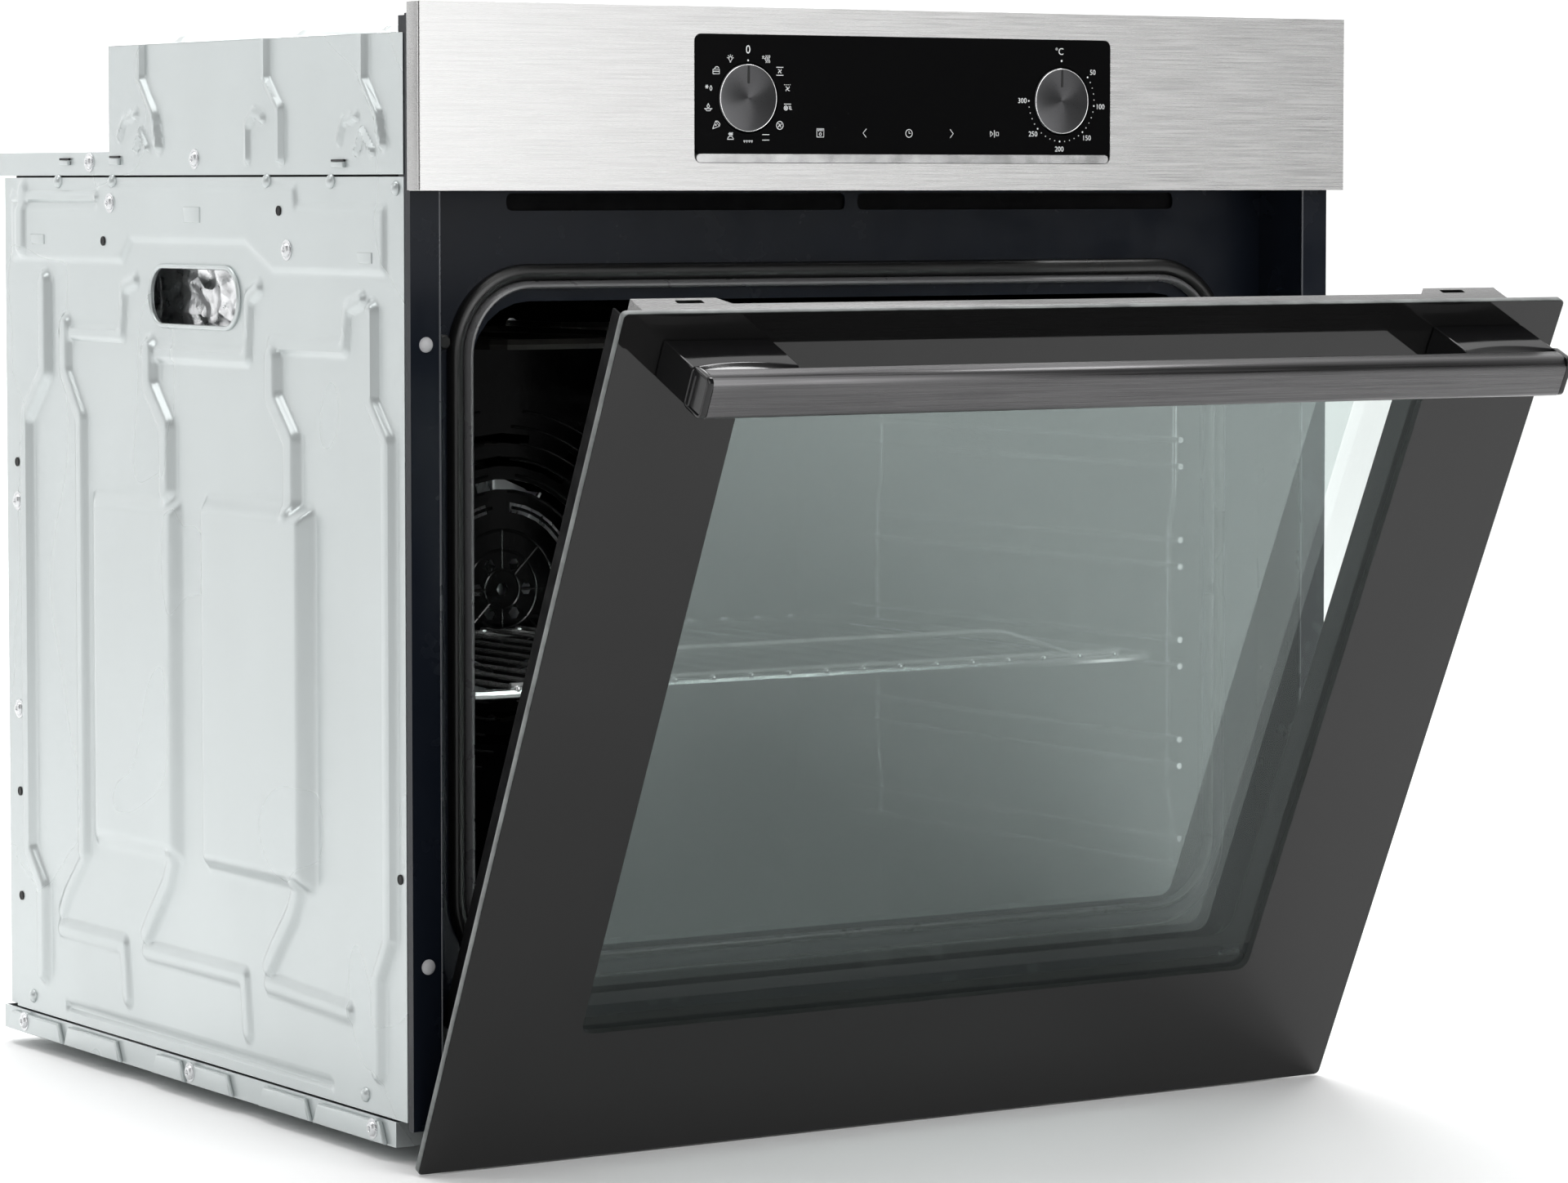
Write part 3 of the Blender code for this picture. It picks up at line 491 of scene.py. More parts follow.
# ---------------------------------------------------------------- pressed sheet metal
def to_lines(points, u, v):
    """Distance from each grid point to a polyline."""
    best = np.full(u.shape, 1e9)
    for (au, av), (bu, bv) in zip(points, points[1:]):
        du, dv = bu - au, bv - av
        t = np.clip(((u - au) * du + (v - av) * dv) / (du * du + dv * dv), 0, 1)
        best = np.minimum(best, np.hypot(u - au - t * du, v - av - t * dv))
    return best


def inside_distance(points, u, v):
    """Signed distance to a closed outline, positive inside."""
    closed = list(points) + [points[0]]
    odd = np.zeros(u.shape, bool)
    for (au, av), (bu, bv) in zip(closed, closed[1:]):
        crosses = (av > v) != (bv > v)
        with np.errstate(divide="ignore", invalid="ignore"):
            odd ^= crosses & (u < (bu - au) * (v - av) / (bv - av) + au)
    distance = to_lines(closed, u, v)
    return np.where(odd, distance, -distance)


def ease(x):
    """Smooth step of values clipped to 0..1."""
    x = np.clip(x, 0, 1)
    return x * x * (3 - 2 * x)


def pressed(beads, plates):
    """Height function of beads (points, half width, height) and raised plates."""
    def height(u, v):
        total = np.zeros(u.shape)
        for outline, edge, rise in plates:
            total += rise * ease(inside_distance(outline, u, v) / edge + 0.5)
        ribs = np.zeros(u.shape)
        for points, half, rise in beads:
            lift = rise * 1.25 * ease((half - to_lines(points, u, v)) / (half * 0.6))
            ribs = np.where(np.abs(lift) > np.abs(ribs), lift, ribs)
        return total + ribs
    return height


def sheet_grid(u_range, v_range, step, height, place, holes=(), lip=0.002):
    """Sheet with pressed relief: place(u, v, h) gives the 3-D point; holes are outlines."""
    nu = max(2, round((u_range[1] - u_range[0]) / step)) + 1
    nv = max(2, round((v_range[1] - v_range[0]) / step)) + 1
    u, v = np.meshgrid(np.linspace(*u_range, nu), np.linspace(*v_range, nv), indexing="ij")
    keep = np.ones((nu - 1, nv - 1), bool)
    middle_u, middle_v = (u[:-1, :-1] + u[1:, 1:]) / 2, (v[:-1, :-1] + v[1:, 1:]) / 2
    for outline in holes:
        keep &= inside_distance(outline, middle_u, middle_v) < 0
        for _ in range(3):
            near = inside_distance(outline, u, v)
            eps = step * 0.05
            gu = (inside_distance(outline, u + eps, v) - near) / eps
            gv = (inside_distance(outline, u, v + eps) - near) / eps
            close = np.abs(near) < step * 0.75
            u = np.where(close, u - gu * near, u)
            v = np.where(close, v - gv * near, v)
    h = height(u, v)
    points = place(u.ravel(), v.ravel(), h.ravel())
    index = np.arange(nu * nv).reshape(nu, nv)
    quads = np.stack([index[:-1, :-1], index[1:, :-1], index[1:, 1:], index[:-1, 1:]], -1)
    faces = quads[keep].tolist()
    mesh = bpy.data.meshes.new("sheet")
    mesh.from_pydata(np.stack(points, 1).tolist(), [], faces)
    bm = bmesh.new()
    bm.from_mesh(mesh)
    bmesh.ops.delete(bm, geom=[w for w in bm.verts if not w.link_faces], context="VERTS")
    if lip:
        a, b = (Vector([float(x[0]) for x in place(np.array([u_range[0]]),
                np.array([v_range[0]]), np.array([s]))]) for s in (0.0, 1.0))
        inward = -(b - a).normalized() * lip
        edges = [e for e in bm.edges if len(e.link_faces) == 1]
        grown = bmesh.ops.extrude_edge_only(bm, edges=edges)["geom"]
        moved = [g for g in grown if isinstance(g, bmesh.types.BMVert)]
        bmesh.ops.translate(bm, vec=inward, verts=moved)
    bmesh.ops.recalc_face_normals(bm, faces=bm.faces)
    bm.to_mesh(mesh)
    bm.free()
    return mesh


# Relief of the side panels: (depth, height above the base) in metres.
SIDE_BEADS = [
    ([(0.475, 0.445), (0.475, 0.392), (0.501, 0.366), (0.501, 0.110), (0.483, 0.090),
      (0.483, 0.040)], 0.0085, 0.0030),
    ([(0.447, 0.420), (0.447, 0.393), (0.427, 0.367), (0.427, 0.117)], 0.0080, 0.0026),
    ([(0.337, 0.408), (0.337, 0.388), (0.316, 0.366), (0.316, 0.331)], 0.0100, 0.0034),
    ([(0.187, 0.408), (0.187, 0.386), (0.166, 0.364), (0.166, 0.331)], 0.0100, 0.0034),
    ([(0.076, 0.435), (0.076, 0.387), (0.059, 0.368), (0.059, 0.108), (0.072, 0.086),
      (0.072, 0.037)], 0.0070, 0.0030),
    ([(0.452, 0.416), (0.374, 0.416), (0.371, 0.443), (0.356, 0.447)], 0.0050, 0.0016),
    ([(0.345, 0.407), (0.219, 0.407), (0.216, 0.440), (0.205, 0.445)], 0.0055, 0.0018),
    ([(0.190, 0.415), (0.107, 0.415), (0.104, 0.436), (0.088, 0.441)], 0.0050, 0.0018),
    ([(0.458, 0.068), (0.376, 0.068), (0.372, 0.038)], 0.0065, 0.0018),
    ([(0.347, 0.068), (0.226, 0.068), (0.222, 0.038)], 0.0065, 0.0018),
    ([(0.197, 0.068), (0.106, 0.064)], 0.0065, 0.0018),
    ([(0.346, 0.078), (0.338, 0.088), (0.318, 0.110), (0.312, 0.122)], 0.0080, 0.0026),
    ([(0.196, 0.078), (0.188, 0.088), (0.168, 0.110), (0.162, 0.122)], 0.0080, 0.0026),
    ([(0.458, 0.078), (0.450, 0.090), (0.428, 0.112)], 0.0060, 0.0014),
    ([(0.453, 0.0232), (0.127, 0.0232)], 0.0030, -0.0016),
    ([(0.505, 0.497), (0.505, 0.466)], 0.0080, 0.0016),
    ([(0.403, 0.4940), (0.519, 0.4940)], 0.0035, 0.0014),
]
SIDE_PLATES = [
    ([(0.408, 0.127), (0.408, 0.322), (0.303, 0.322), (0.303, 0.127)], 0.012, 0.0050),
    ([(0.266, 0.127), (0.266, 0.326), (0.146, 0.326), (0.146, 0.127)], 0.011, 0.0078),
    ([(0.519, 0.458), (0.372, 0.458), (0.360, 0.470), (0.220, 0.470), (0.187, 0.455),
      (0.062, 0.455), (0.062, 0.489), (0.160, 0.489), (0.162, 0.4995), (0.403, 0.4995),
      (0.405, 0.4880), (0.519, 0.4880)], 0.0050, 0.0018),
]
COVER_BEADS = [
    ([(0.346, 0.5790), (0.346, 0.560), (0.329, 0.540), (0.325, 0.522)], 0.0042, 0.0024),
    ([(0.194, 0.5790), (0.194, 0.558), (0.178, 0.541), (0.178, 0.515)], 0.0042, 0.0024),
    ([(0.084, 0.5790), (0.084, 0.556), (0.068, 0.537), (0.064, 0.522)], 0.0042, 0.0024),
    ([(0.375, 0.528), (0.369, 0.537), (0.353, 0.5405)], 0.0030, 0.0014),
    ([(0.217, 0.515), (0.217, 0.533), (0.208, 0.5395), (0.199, 0.5365)], 0.0036, 0.0016),
    ([(0.112, 0.524), (0.107, 0.534), (0.093, 0.5365)], 0.0030, 0.0014),
    ([(0.354, 0.5205), (0.347, 0.5310), (0.338, 0.5215)], 0.0022, 0.0018),
    ([(0.093, 0.5175), (0.086, 0.5290), (0.076, 0.5180)], 0.0022, 0.0018),
]
COVER_RIBS = (0.0700, 0.1650, 0.3100)
SKIN = 0.0003
PRESS_STEP = 0.0018
SIDE_SCREWS = [(0.385, 0.4905), (0.169, 0.466), (0.516, 0.315), (0.516, 0.192)]
BASE_SCREWS = [(0.505, 0.0075), (0.287, 0.0075), (0.074, 0.0075)]
COVER_SCREWS = [(0.281, 0.515), (0.415, 0.5135)]
SIDE_RIVETS = [(0.457, 0.5028), (0.385, 0.5028), (0.195, 0.5028), (0.122, 0.5026), (0.051, 0.499),
               (0.500, 0.023), (0.088, 0.023)]
SIDE_HOLES = [(0.394, 0.469), (0.178, 0.487), (0.516, 0.338), (0.516, 0.143), (0.515, 0.081),
              (0.049, 0.141)]
REAR_SCREW_X, REAR_SCREW_Z = (-0.262, 0.262), (0.040, 0.180, 0.330, 0.480)
FLANGE_SCREW_X, FLANGE_SCREW_Z = (-0.2871, 0.2871), (0.1000, 0.4194)
LANCED = [(0.482, 0.4725, 0.018, 0.006), (0.282, 0.4890, 0.020, 0.009),
          (0.082, 0.4660, 0.016, 0.006), (0.380, 0.5160, 0.012, 0.004),
          (0.112, 0.5130, 0.014, 0.003), (0.446, 0.5150, 0.012, 0.003)]
BASE_TABS = [(0.455, 0.530), (0.378, 0.452), (0.296, 0.336), (0.238, 0.292), (0.146, 0.205),
             (0.062, 0.142)]
FOLDS = [(60, 35, 0.3), (-35, 80, 1.1), (120, -90, 2.0), (60, 190, 0.7)]
RAIL_X, POST_X, RAIL_LOW, RAIL_PITCH, RAIL_PAIR = 0.2290, 0.2318, 0.1198, 0.0571, 0.0076
HAND_HOLE = rounded((0.2279, 0.3371), (0.4225, 0.4557), 0.0165, 10)


def make_side_panels(finish):
    """Both pressed side panels with rolled hand holes."""
    low_z, top_z = limits("side_panel_left", 2)
    near = limits("side_panel_left", 1)[0] - FRONT
    far = limits("side_panel_left", 1)[1] - FRONT
    outside = -limits("side_panel_left", 0)[0]
    height = pressed(SIDE_BEADS, SIDE_PLATES)
    for side, label in ((-1, "left"), (1, "right")):
        def place(u, v, h, side=side):
            return side * (outside + h), FRONT + u, v
        mesh = sheet_grid((near, far), (low_z, top_z), PRESS_STEP, height, place, [HAND_HOLE],
                          0.0018)
        piece(f"pressed_side_{label}", mesh, finish, "housing",
              [f"side_panel_{label}"])
        rim = [(side * (outside + 0.0006), back(u), v) for u, v in HAND_HOLE]
        piece(f"hand_hole_rim_{label}", wire([rim], 0.0014, True), finish, "housing")


def make_cover_skins(finish):
    """Pressed skins over the upper cover: both sides and the ribbed top."""
    near = limits("side_panel_left", 1)[0] - FRONT
    far = limits("upper_cover", 1)[1] - FRONT
    low_z, top_z = limits("top_plate", 2)[0], limits("upper_cover", 2)[1]
    outside = limits("top_plate", 0)[1] + SKIN
    height = pressed(COVER_BEADS, [])
    for side, label in ((-1, "left"), (1, "right")):
        def place(u, v, h, side=side):
            return side * (outside + h), FRONT + u, v
        mesh = sheet_grid((near, far), (low_z, top_z), PRESS_STEP, height, place, (), 0.0004)
        piece(f"cover_skin_{label}", mesh, finish, "housing")
    reach = outside - 0.014
    ribs = [([(u, -reach), (u, reach)], 0.013, 0.0036) for u in COVER_RIBS]

    def lay(u, v, h):
        return v, FRONT + u, top_z + SKIN + h
    mesh = sheet_grid((near + 0.012, far), (-outside, outside), 0.0035, pressed(ribs, []), lay,
                      (), 0.0004)
    piece("cover_skin_top", mesh, finish, "housing")


def scatter(name, mesh, places, finish, body="housing"):
    """One piece made of a small mesh repeated at a list of matrices."""
    bm = bmesh.new()
    for matrix in places:
        add_mesh(bm, mesh, matrix)
    return piece(name, mesh_from(bm, name), finish, body)


def make_fasteners(steel, finish, black):
    """Screws, rivet domes and punched holes of the housing; the holes are matt black discs, painted shade."""
    head = lathe([(0, 0.0008), (0.0010, 0.0009), (0.0016, 0.0021), (0.0030, 0.0019),
                  (0.0040, 0.0008), (0.0041, 0.0003), (0.0056, 0.0003), (0.0057, -0.0006),
                  (0, -0.0006)], 24)
    dome = lathe([(0, 0.0024), (0.0018, 0.0021), (0.0033, 0.0012), (0.0040, 0.0002),
                  (0.0040, -0.0006), (0, -0.0006)], 24)
    # Each punched hole is a matt black disc: painted shade where the sheet is open.
    hole = lathe([(0, 0.00035), (0.0019, 0.00035), (0.0021, 0.0006), (0.0027, 0.0004),
                  (0.0027, -0.0006), (0, -0.0006)], 24)
    sheet = limits("side_panel_right", 0)[1]
    relief = pressed(SIDE_BEADS, SIDE_PLATES)
    base = limits("base_plate", 0)[1]
    cover = limits("top_plate", 0)[1] + SKIN
    screws, domes, holes = [], [], []
    for side in (-1, 1):
        def spot(x, u, v, side=side):
            return towards((side, 0, 0), (side * x, back(u), v))

        def on_sheet(u, v):
            return spot(sheet + 0.0002 + float(relief(np.array([u]), np.array([v]))[0]), u, v)
        screws += [on_sheet(u, v) for u, v in SIDE_SCREWS]
        screws += [spot(base + 0.0030, u, v) for u, v in BASE_SCREWS]
        screws += [spot(cover, u, v) for u, v in COVER_SCREWS]
        domes += [on_sheet(u, v) for u, v in SIDE_RIVETS]
        holes += [on_sheet(u, v) for u, v in SIDE_HOLES]
    rear = limits("back_panel", 1)[1]
    screws += [towards((0, 1, 0), (x, rear, z)) for x in REAR_SCREW_X for z in REAR_SCREW_Z]
    scatter("housing_screws", head, screws, steel)
    scatter("housing_rivets", dome, domes, finish)
    scatter("punched_hole_shade", hole, holes, black)
    flange = limits("front_frame", 1)[0]
    frame_screws = [towards((0, -1, 0), (x, flange + 0.0002, z))
                    for x in FLANGE_SCREW_X for z in FLANGE_SCREW_Z]
    scatter("flange_screws", dome, frame_screws,
            black_plastic("plated_head", (0.40, 0.40, 0.41), 0.55, 0.3))


def make_tabs(finish, black):
    """Bent tabs along the base flange and lanced tabs in the side panels, with dark strips in their slits as
    painted shade.
    """
    sheet, base = limits("side_panel_right", 0)[1], limits("base_plate", 0)[1]
    tabs, slits = bmesh.new(), bmesh.new()
    for side in (-1, 1):
        for low, high in BASE_TABS:
            outline = [(back(low), 0.0005), (back(high), 0.0005), (back(high - 0.006), 0.0118),
                       (back(low + 0.006), 0.0118)]
            span = sorted((side * (base - 0.0002), side * (base + 0.0030)))
            add_mesh(tabs, prism([outline], "X", *span, 0.0012, 3))
        for u, v, long, tall in LANCED:
            # A dark strip in each slit: painted shade behind the lanced tab.
            slit = rounded((back(u - long / 2), back(u + long / 2)), (v, v + 0.0012), 0.0005, 3)
            span = sorted((side * (sheet + 0.0002), side * (sheet + 0.0017)))
            add_mesh(slits, prism([slit], "X", *span))
            tab = [(back(u - long / 2), v - tall), (back(u + long / 2 - 0.002), v - tall),
                   (back(u + long / 2), v - 0.0003), (back(u - long / 2), v - 0.0003)]
            span = sorted((side * (sheet + 0.0002), side * (sheet + 0.0024)))
            add_mesh(tabs, prism([tab], "X", *span, 0.0005))
    piece("bent_tabs", mesh_from(tabs, "bent_tabs"), finish, "housing")
    piece("lanced_slit_shade", mesh_from(slits, "slits"), black, "housing")


def make_foil(finish):
    """Crumpled foil behind each side panel, seen through the hand holes."""
    def crumple(u, v):
        total = np.zeros(u.shape)
        for k, (a, b, phase) in enumerate(FOLDS):
            wave = np.sin(a * u + b * v + phase + 1.7 * np.sin(0.6 * b * u - 0.5 * a * v))
            total += (1 - np.abs(wave)) * 0.0030 / (1 + 0.5 * k)
        return total
    for side, label in ((-1, "left"), (1, "right")):
        def place(u, v, h, side=side):
            return side * (0.2640 + h), FRONT + u, v
        mesh = sheet_grid((0.150, 0.420), (0.330, 0.470), 0.0022, crumple, place, (), 0)
        piece(f"foil_sheet_{label}", mesh, finish, "housing", sharp=60)


# Sections of the door gasket: distance in from its outer edge, height above its foot.
GASKET_BEAD = [(0.0, 0.0), (0.0, 0.0015), (0.0006, 0.0034), (0.0020, 0.0049), (0.0042, 0.0056),
               (0.0064, 0.0052), (0.0078, 0.0040), (0.0086, 0.0022), (0.0088, 0.0)]
GASKET_LIP = [(0.0089, 0.0), (0.0089, 0.0030), (0.0096, 0.0050), (0.0108, 0.0063),
              (0.0119, 0.0065), (0.0126, 0.0058), (0.0130, 0.0040), (0.0130, 0.0)]
GASKET_CORNER = 0.048


def swept_round(section):
    """Skin of a section carried round the rounded opening of the oven."""
    low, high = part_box("door_gasket")
    bm = bmesh.new()
    rings = []
    for inset, height in section:
        outline = rounded((low[0] + inset, high[0] - inset), (low[2] + inset, high[2] - inset),
                          GASKET_CORNER - inset, 14)
        rings.append([bm.verts.new((x, high[1] - height, z)) for x, z in outline])
    count = len(rings[0])
    for first, second in zip(rings, rings[1:] + rings[:1]):
        for k in range(count):
            n = (k + 1) % count
            bm.faces.new((first[k], first[n], second[n], second[k]))
    bmesh.ops.recalc_face_normals(bm, faces=bm.faces)
    return mesh_from(bm, "swept_round")


def make_gasket(bead_finish, lip_highlight_finish):
    """Broad soft bead with a raised lip along its inner edge, in paler rubber as a painted highlight."""
    bead = piece("gasket_bead", swept_round(GASKET_BEAD), bead_finish, "housing")
    # The lip's paler rubber stands in for the highlight along the gasket's inner edge: painted highlight.
    lip = piece("gasket_lip", swept_round(GASKET_LIP), lip_highlight_finish, "housing")
    for part in (bead, lip):
        part.data.shade_smooth()
    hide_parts("door_gasket")
    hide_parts("door_gasket")


RAIL_FRONT = {"left": 0.0740, "right": 0.0600}
RAIL_REAR = 0.3990
POST_DEPTHS = (0.070, 0.370)
CRANK = 0.0045


def make_racks(finish):
    """Side racks: two cranked posts and five pairs of straight bright rails."""
    for side, label in ((-1, "left"), (1, "right")):
        x_rail, x_post = side * RAIL_X, side * POST_X
        rails = []
        for level in range(5):
            middle = RAIL_LOW + RAIL_PITCH * level
            top, bottom = middle + RAIL_PAIR, middle - RAIL_PAIR
            front, rear = back(RAIL_FRONT[label]), back(RAIL_REAR)
            for z in (top, bottom):
                rails.append([(x_rail, front, z), (x_rail, rear, z)])
        posts = []
        for depth in POST_DEPTHS:
            path = [(0, 0.1105), (0, 0.138), (CRANK, 0.153), (CRANK, 0.306), (0, 0.325),
                    (0, 0.376)]
            posts.append(bend([(x_post, back(depth) + shift, z) for shift, z in path], 0.004, 4))
        bm = bmesh.new()
        add_mesh(bm, wire(rails, 0.0018))
        add_mesh(bm, wire(posts, 0.0020))
        piece(f"rack_wires_{label}", mesh_from(bm, "rack"), finish, "housing",
              [f"shelf_rack_{label}"])


def arc(radius, start, end, y):
    """Points of an arc around the fan's axis, angles in degrees."""
    steps = max(4, round((end - start) / 6))
    turns = [math.radians(start + (end - start) * k / steps) for k in range(steps + 1)]
    return [(FAN_X + radius * math.cos(t), y, FAN_Z + radius * math.sin(t)) for t in turns]


def make_fan_grille(finish):
    """Raised rims of the concentric slots, hub rings and spokes on the fan cover."""
    y = limits("fan_cover", 1)[0]
    rims = []
    for k in range(7):
        radius = 0.050 + 0.0098 * k
        for quarter in range(4):
            start = 90 * quarter + 8 + 4 * (k % 2)
            rims.append(arc(radius, start, start + 74, y))
    rims += [arc(radius, 0, 360, y) for radius in (0.012, 0.024, 0.036)]
    for k in range(8):
        t = math.tau * k / 8
        rims.append([(FAN_X + r * math.cos(t), y, FAN_Z + r * math.sin(t))
                     for r in (0.012, 0.036)])
    piece("fan_grille_rims", wire(rims, 0.0010, resolution=2), finish, "housing")


def make_frame_details(enamel, black):
    """Flange edges in paler enamel (painted highlight), dark top seams, painted shade behind the vents."""
    near, _ = limits("front_frame", 1)
    low_z, _ = limits("front_frame", 2)
    # The edge wires are a paler, glossier enamel than the frame: a painted highlight along the flange edges.
    edges = [[(side * 0.2790, near + 0.0002, low_z + 0.001), (side * 0.2790, near + 0.0002,
             limits("control_panel", 2)[0] - 0.0003)] for side in (-1, 1)]
    piece("flange_edges", wire(edges, 0.0006), enamel, "housing")
    seam = rounded((back(0.0560), back(0.5210)), (0.4990, 0.5085), 0.001, 2)
    for side, label in ((-1, "left"), (1, "right")):
        span = sorted((side * 0.2790, side * 0.2806))
        piece(f"top_seam_{label}", prism([seam], "X", *span), black, "housing")
    # A dark sheet behind the vent slots, where there is only shade: painted shade.
    vent_shade = rounded((-0.2190, 0.2190), (0.4858, 0.4977), 0.002, 3)
    piece("vent_painted_shade", prism([vent_shade], "Y", back(0.0550), back(0.0560)), black, "housing")


WELD_PITCH = 0.0245


def make_weld_dots(finish):
    """Weld dots where the bars cross the shelf's front rails."""
    low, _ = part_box("wire_shelf")
    dot = lathe([(0, 0.0016), (0.0010, 0.0012), (0.0016, 0), (0.0010, -0.0012), (0, -0.0016)], 12)
    places = [Matrix.Translation((x * WELD_PITCH, low[1] + 0.0008, 0.2335)) for x in range(-8, 9)]
    scatter("shelf_weld_dots", dot, places, finish, "shelf")


# ---------------------------------------------------------------- control panel print and knobs
def fan(x=0.0, y=0.0, size=1.0):
    """Two crossed, curved blades."""
    blades = []
    for turn in (0, 1):
        points = []
        for k in range(-6, 7):
            r, a = size * k / 6, turn * math.pi / 2 + 0.9 * abs(k / 6)
            points.append((x + r * math.cos(a), y + r * math.sin(a)))
        blades.append(points)
    return blades


def ring(x, y, radius, steps=24):
    """A closed round stroke."""
    return [(x + radius * math.cos(math.tau * k / steps),
             y + radius * math.sin(math.tau * k / steps)) for k in range(steps + 1)]


def wave(x, low, high):
    """An upright wavy stroke."""
    return [(x + 0.18 * math.sin(k * math.pi / 4), low + (high - low) * k / 12)
            for k in range(13)]


def bar(y, half=1.0):
    """A level stroke."""
    return [(-half, y), (half, y)]


def tooth(x, y, size=0.22):
    """A small closed triangle that points down."""
    return [(x - size, y + size), (x + size, y + size), (x, y - size), (x - size, y + size)]


def function_glyphs():
    """Strokes of the thirteen function symbols, clockwise from the top, in units of half size."""
    dome = [(-0.9, -0.5)] + [(0.8 * math.cos(t), -0.5 + 0.75 * math.sin(t))
                             for t in np.linspace(math.pi, 0, 9)] + [(0.9, -0.5), (-0.9, -0.5)]
    drop = [(0.75, 0.6), (1.05, 0.0), (0.95, -0.45), (0.75, -0.6), (0.55, -0.45), (0.45, 0.0),
            (0.75, 0.6)]
    star = [[(-0.4 + 0.5 * math.cos(a), 0.3 + 0.5 * math.sin(a)),
             (-0.4 - 0.5 * math.cos(a), 0.3 - 0.5 * math.sin(a))] for a in (0, 1.05, 2.09)]
    bulb = [(0.45 * math.cos(a), 0.45 * math.sin(a)) for a in np.linspace(-1.0, 4.14, 15)]
    rays = [[(0.65 * math.cos(a), 0.65 * math.sin(a)), (0.95 * math.cos(a), 0.95 * math.sin(a))]
            for a in (0.2, 0.88, 1.57, 2.26, 2.94)]
    return [
        [wave(0.0, -0.9, 0.9), wave(0.5, -0.9, 0.9), wave(1.0, -0.9, 0.9),
         [(-1.0, 0.5), (-0.7, 0.7), (-0.4, 0.5)], [(-1.0, 0.1), (-0.7, 0.3), (-0.4, 0.1)]],
        [bar(0.95), bar(-0.95), *fan(0, 0, 0.65)],
        [*[[(x, 0.95), (x + 0.2, 0.95)] for x in (-1.0, -0.6, -0.2, 0.2, 0.6)],
         *fan(0, 0, 0.75)],
        [bar(0.95), ring(-0.5, 0, 0.5), *fan(-0.5, 0, 0.4),
         [(0.3, 0.5), (0.6, 0.2), (0.4, 0.0), (0.8, -0.4)],
         [(0.7, 0.5), (1.0, 0.2), (0.8, 0.0), (1.2, -0.4)]],
        [ring(0, 0, 0.95), *fan(0, 0, 0.65)],
        [bar(0.65), bar(-0.65)],
        [tooth(x, 0.0) for x in (-1.05, -0.35, 0.35, 1.05)],
        [dome, wave(-0.35, 0.45, 1.1), wave(0.05, 0.45, 1.1), wave(0.45, 0.45, 1.1)],
        [[(-1, -0.9), (0.9, -0.3), (-0.2, 0.9), (-1, -0.9)], [(0.9, -0.3), (1.0, 0.3),
         (0.4, 0.9), (-0.2, 0.9)], ring(-0.1, 0.0, 0.14, 8)],
        [bar(-0.3, 1.1), [(-0.8, -0.3), (-0.5, -0.8), (0.5, -0.8), (0.8, -0.3)],
         ring(0, 0.3, 0.34, 14), [(0, 0.7), (0, 1.0)]],
        [*star, drop],
        [[(-0.9, -0.8), (0.9, -0.8), (0.9, 0.3), (-0.9, 0.3), (-0.9, -0.8)],
         [(-0.9, -0.2), (0.9, -0.2)], [(-0.5, 0.3), (-0.2, 0.8), (0.4, 0.9), (0.8, 0.6)]],
        [bulb, *rays, [(-0.25, -0.6), (0.25, -0.6)], [(-0.18, -0.85), (0.18, -0.85)]],
    ]


def touch_glyphs():
    """Symbols of the five touch keys, by X place."""
    box_key = [[(-1, -1), (1, -1), (1, 1), (-1, 1), (-1, -1)], *[tooth(x, 0.55, 0.2)
               for x in (-0.5, 0.0, 0.5)], ring(0, -0.3, 0.32, 12)]
    clock = [ring(0, 0, 1.0), [(0, 0.6), (0, 0), (0.5, 0)]]
    return [(-0.0559, 0.0022, box_key), (-0.0277, 0.0023, [[(0.45, 1), (-0.45, 0), (0.45, -1)]]),
            (0.0008, 0.0021, clock), (0.0285, 0.0023, [[(-0.45, 1), (0.45, 0), (-0.45, -1)]]),
            (0.0566, 0.0018, [[(-1.5, 0.8), (-1.5, -0.8), (-0.5, 0), (-1.5, 0.8)],
                              [(0, 1.1), (0, -1.1)],
                              [(0.6, -0.5), (1.5, -0.5), (1.5, 0.5), (0.6, 0.5), (0.6, -0.5)]])]


def lettering(text, x, z, size, face):
    """Raised digits, centred on a place on the panel glass."""
    curve = bpy.data.curves.new("digits", "FONT")
    curve.body = text
    curve.size = size
    curve.align_x, curve.align_y = "CENTER", "CENTER"
    curve.extrude = 0.00004
    curve.resolution_u = 3
    holder = bpy.data.objects.new("digits", curve)
    holder.location = (x, face, z)
    holder.rotation_euler = TURN["Y"]
    bpy.context.scene.collection.objects.link(holder)
    bpy.context.view_layer.update()
    return solid_mesh(holder)


DIAL_START, DIAL_STEP = 53, 43.4


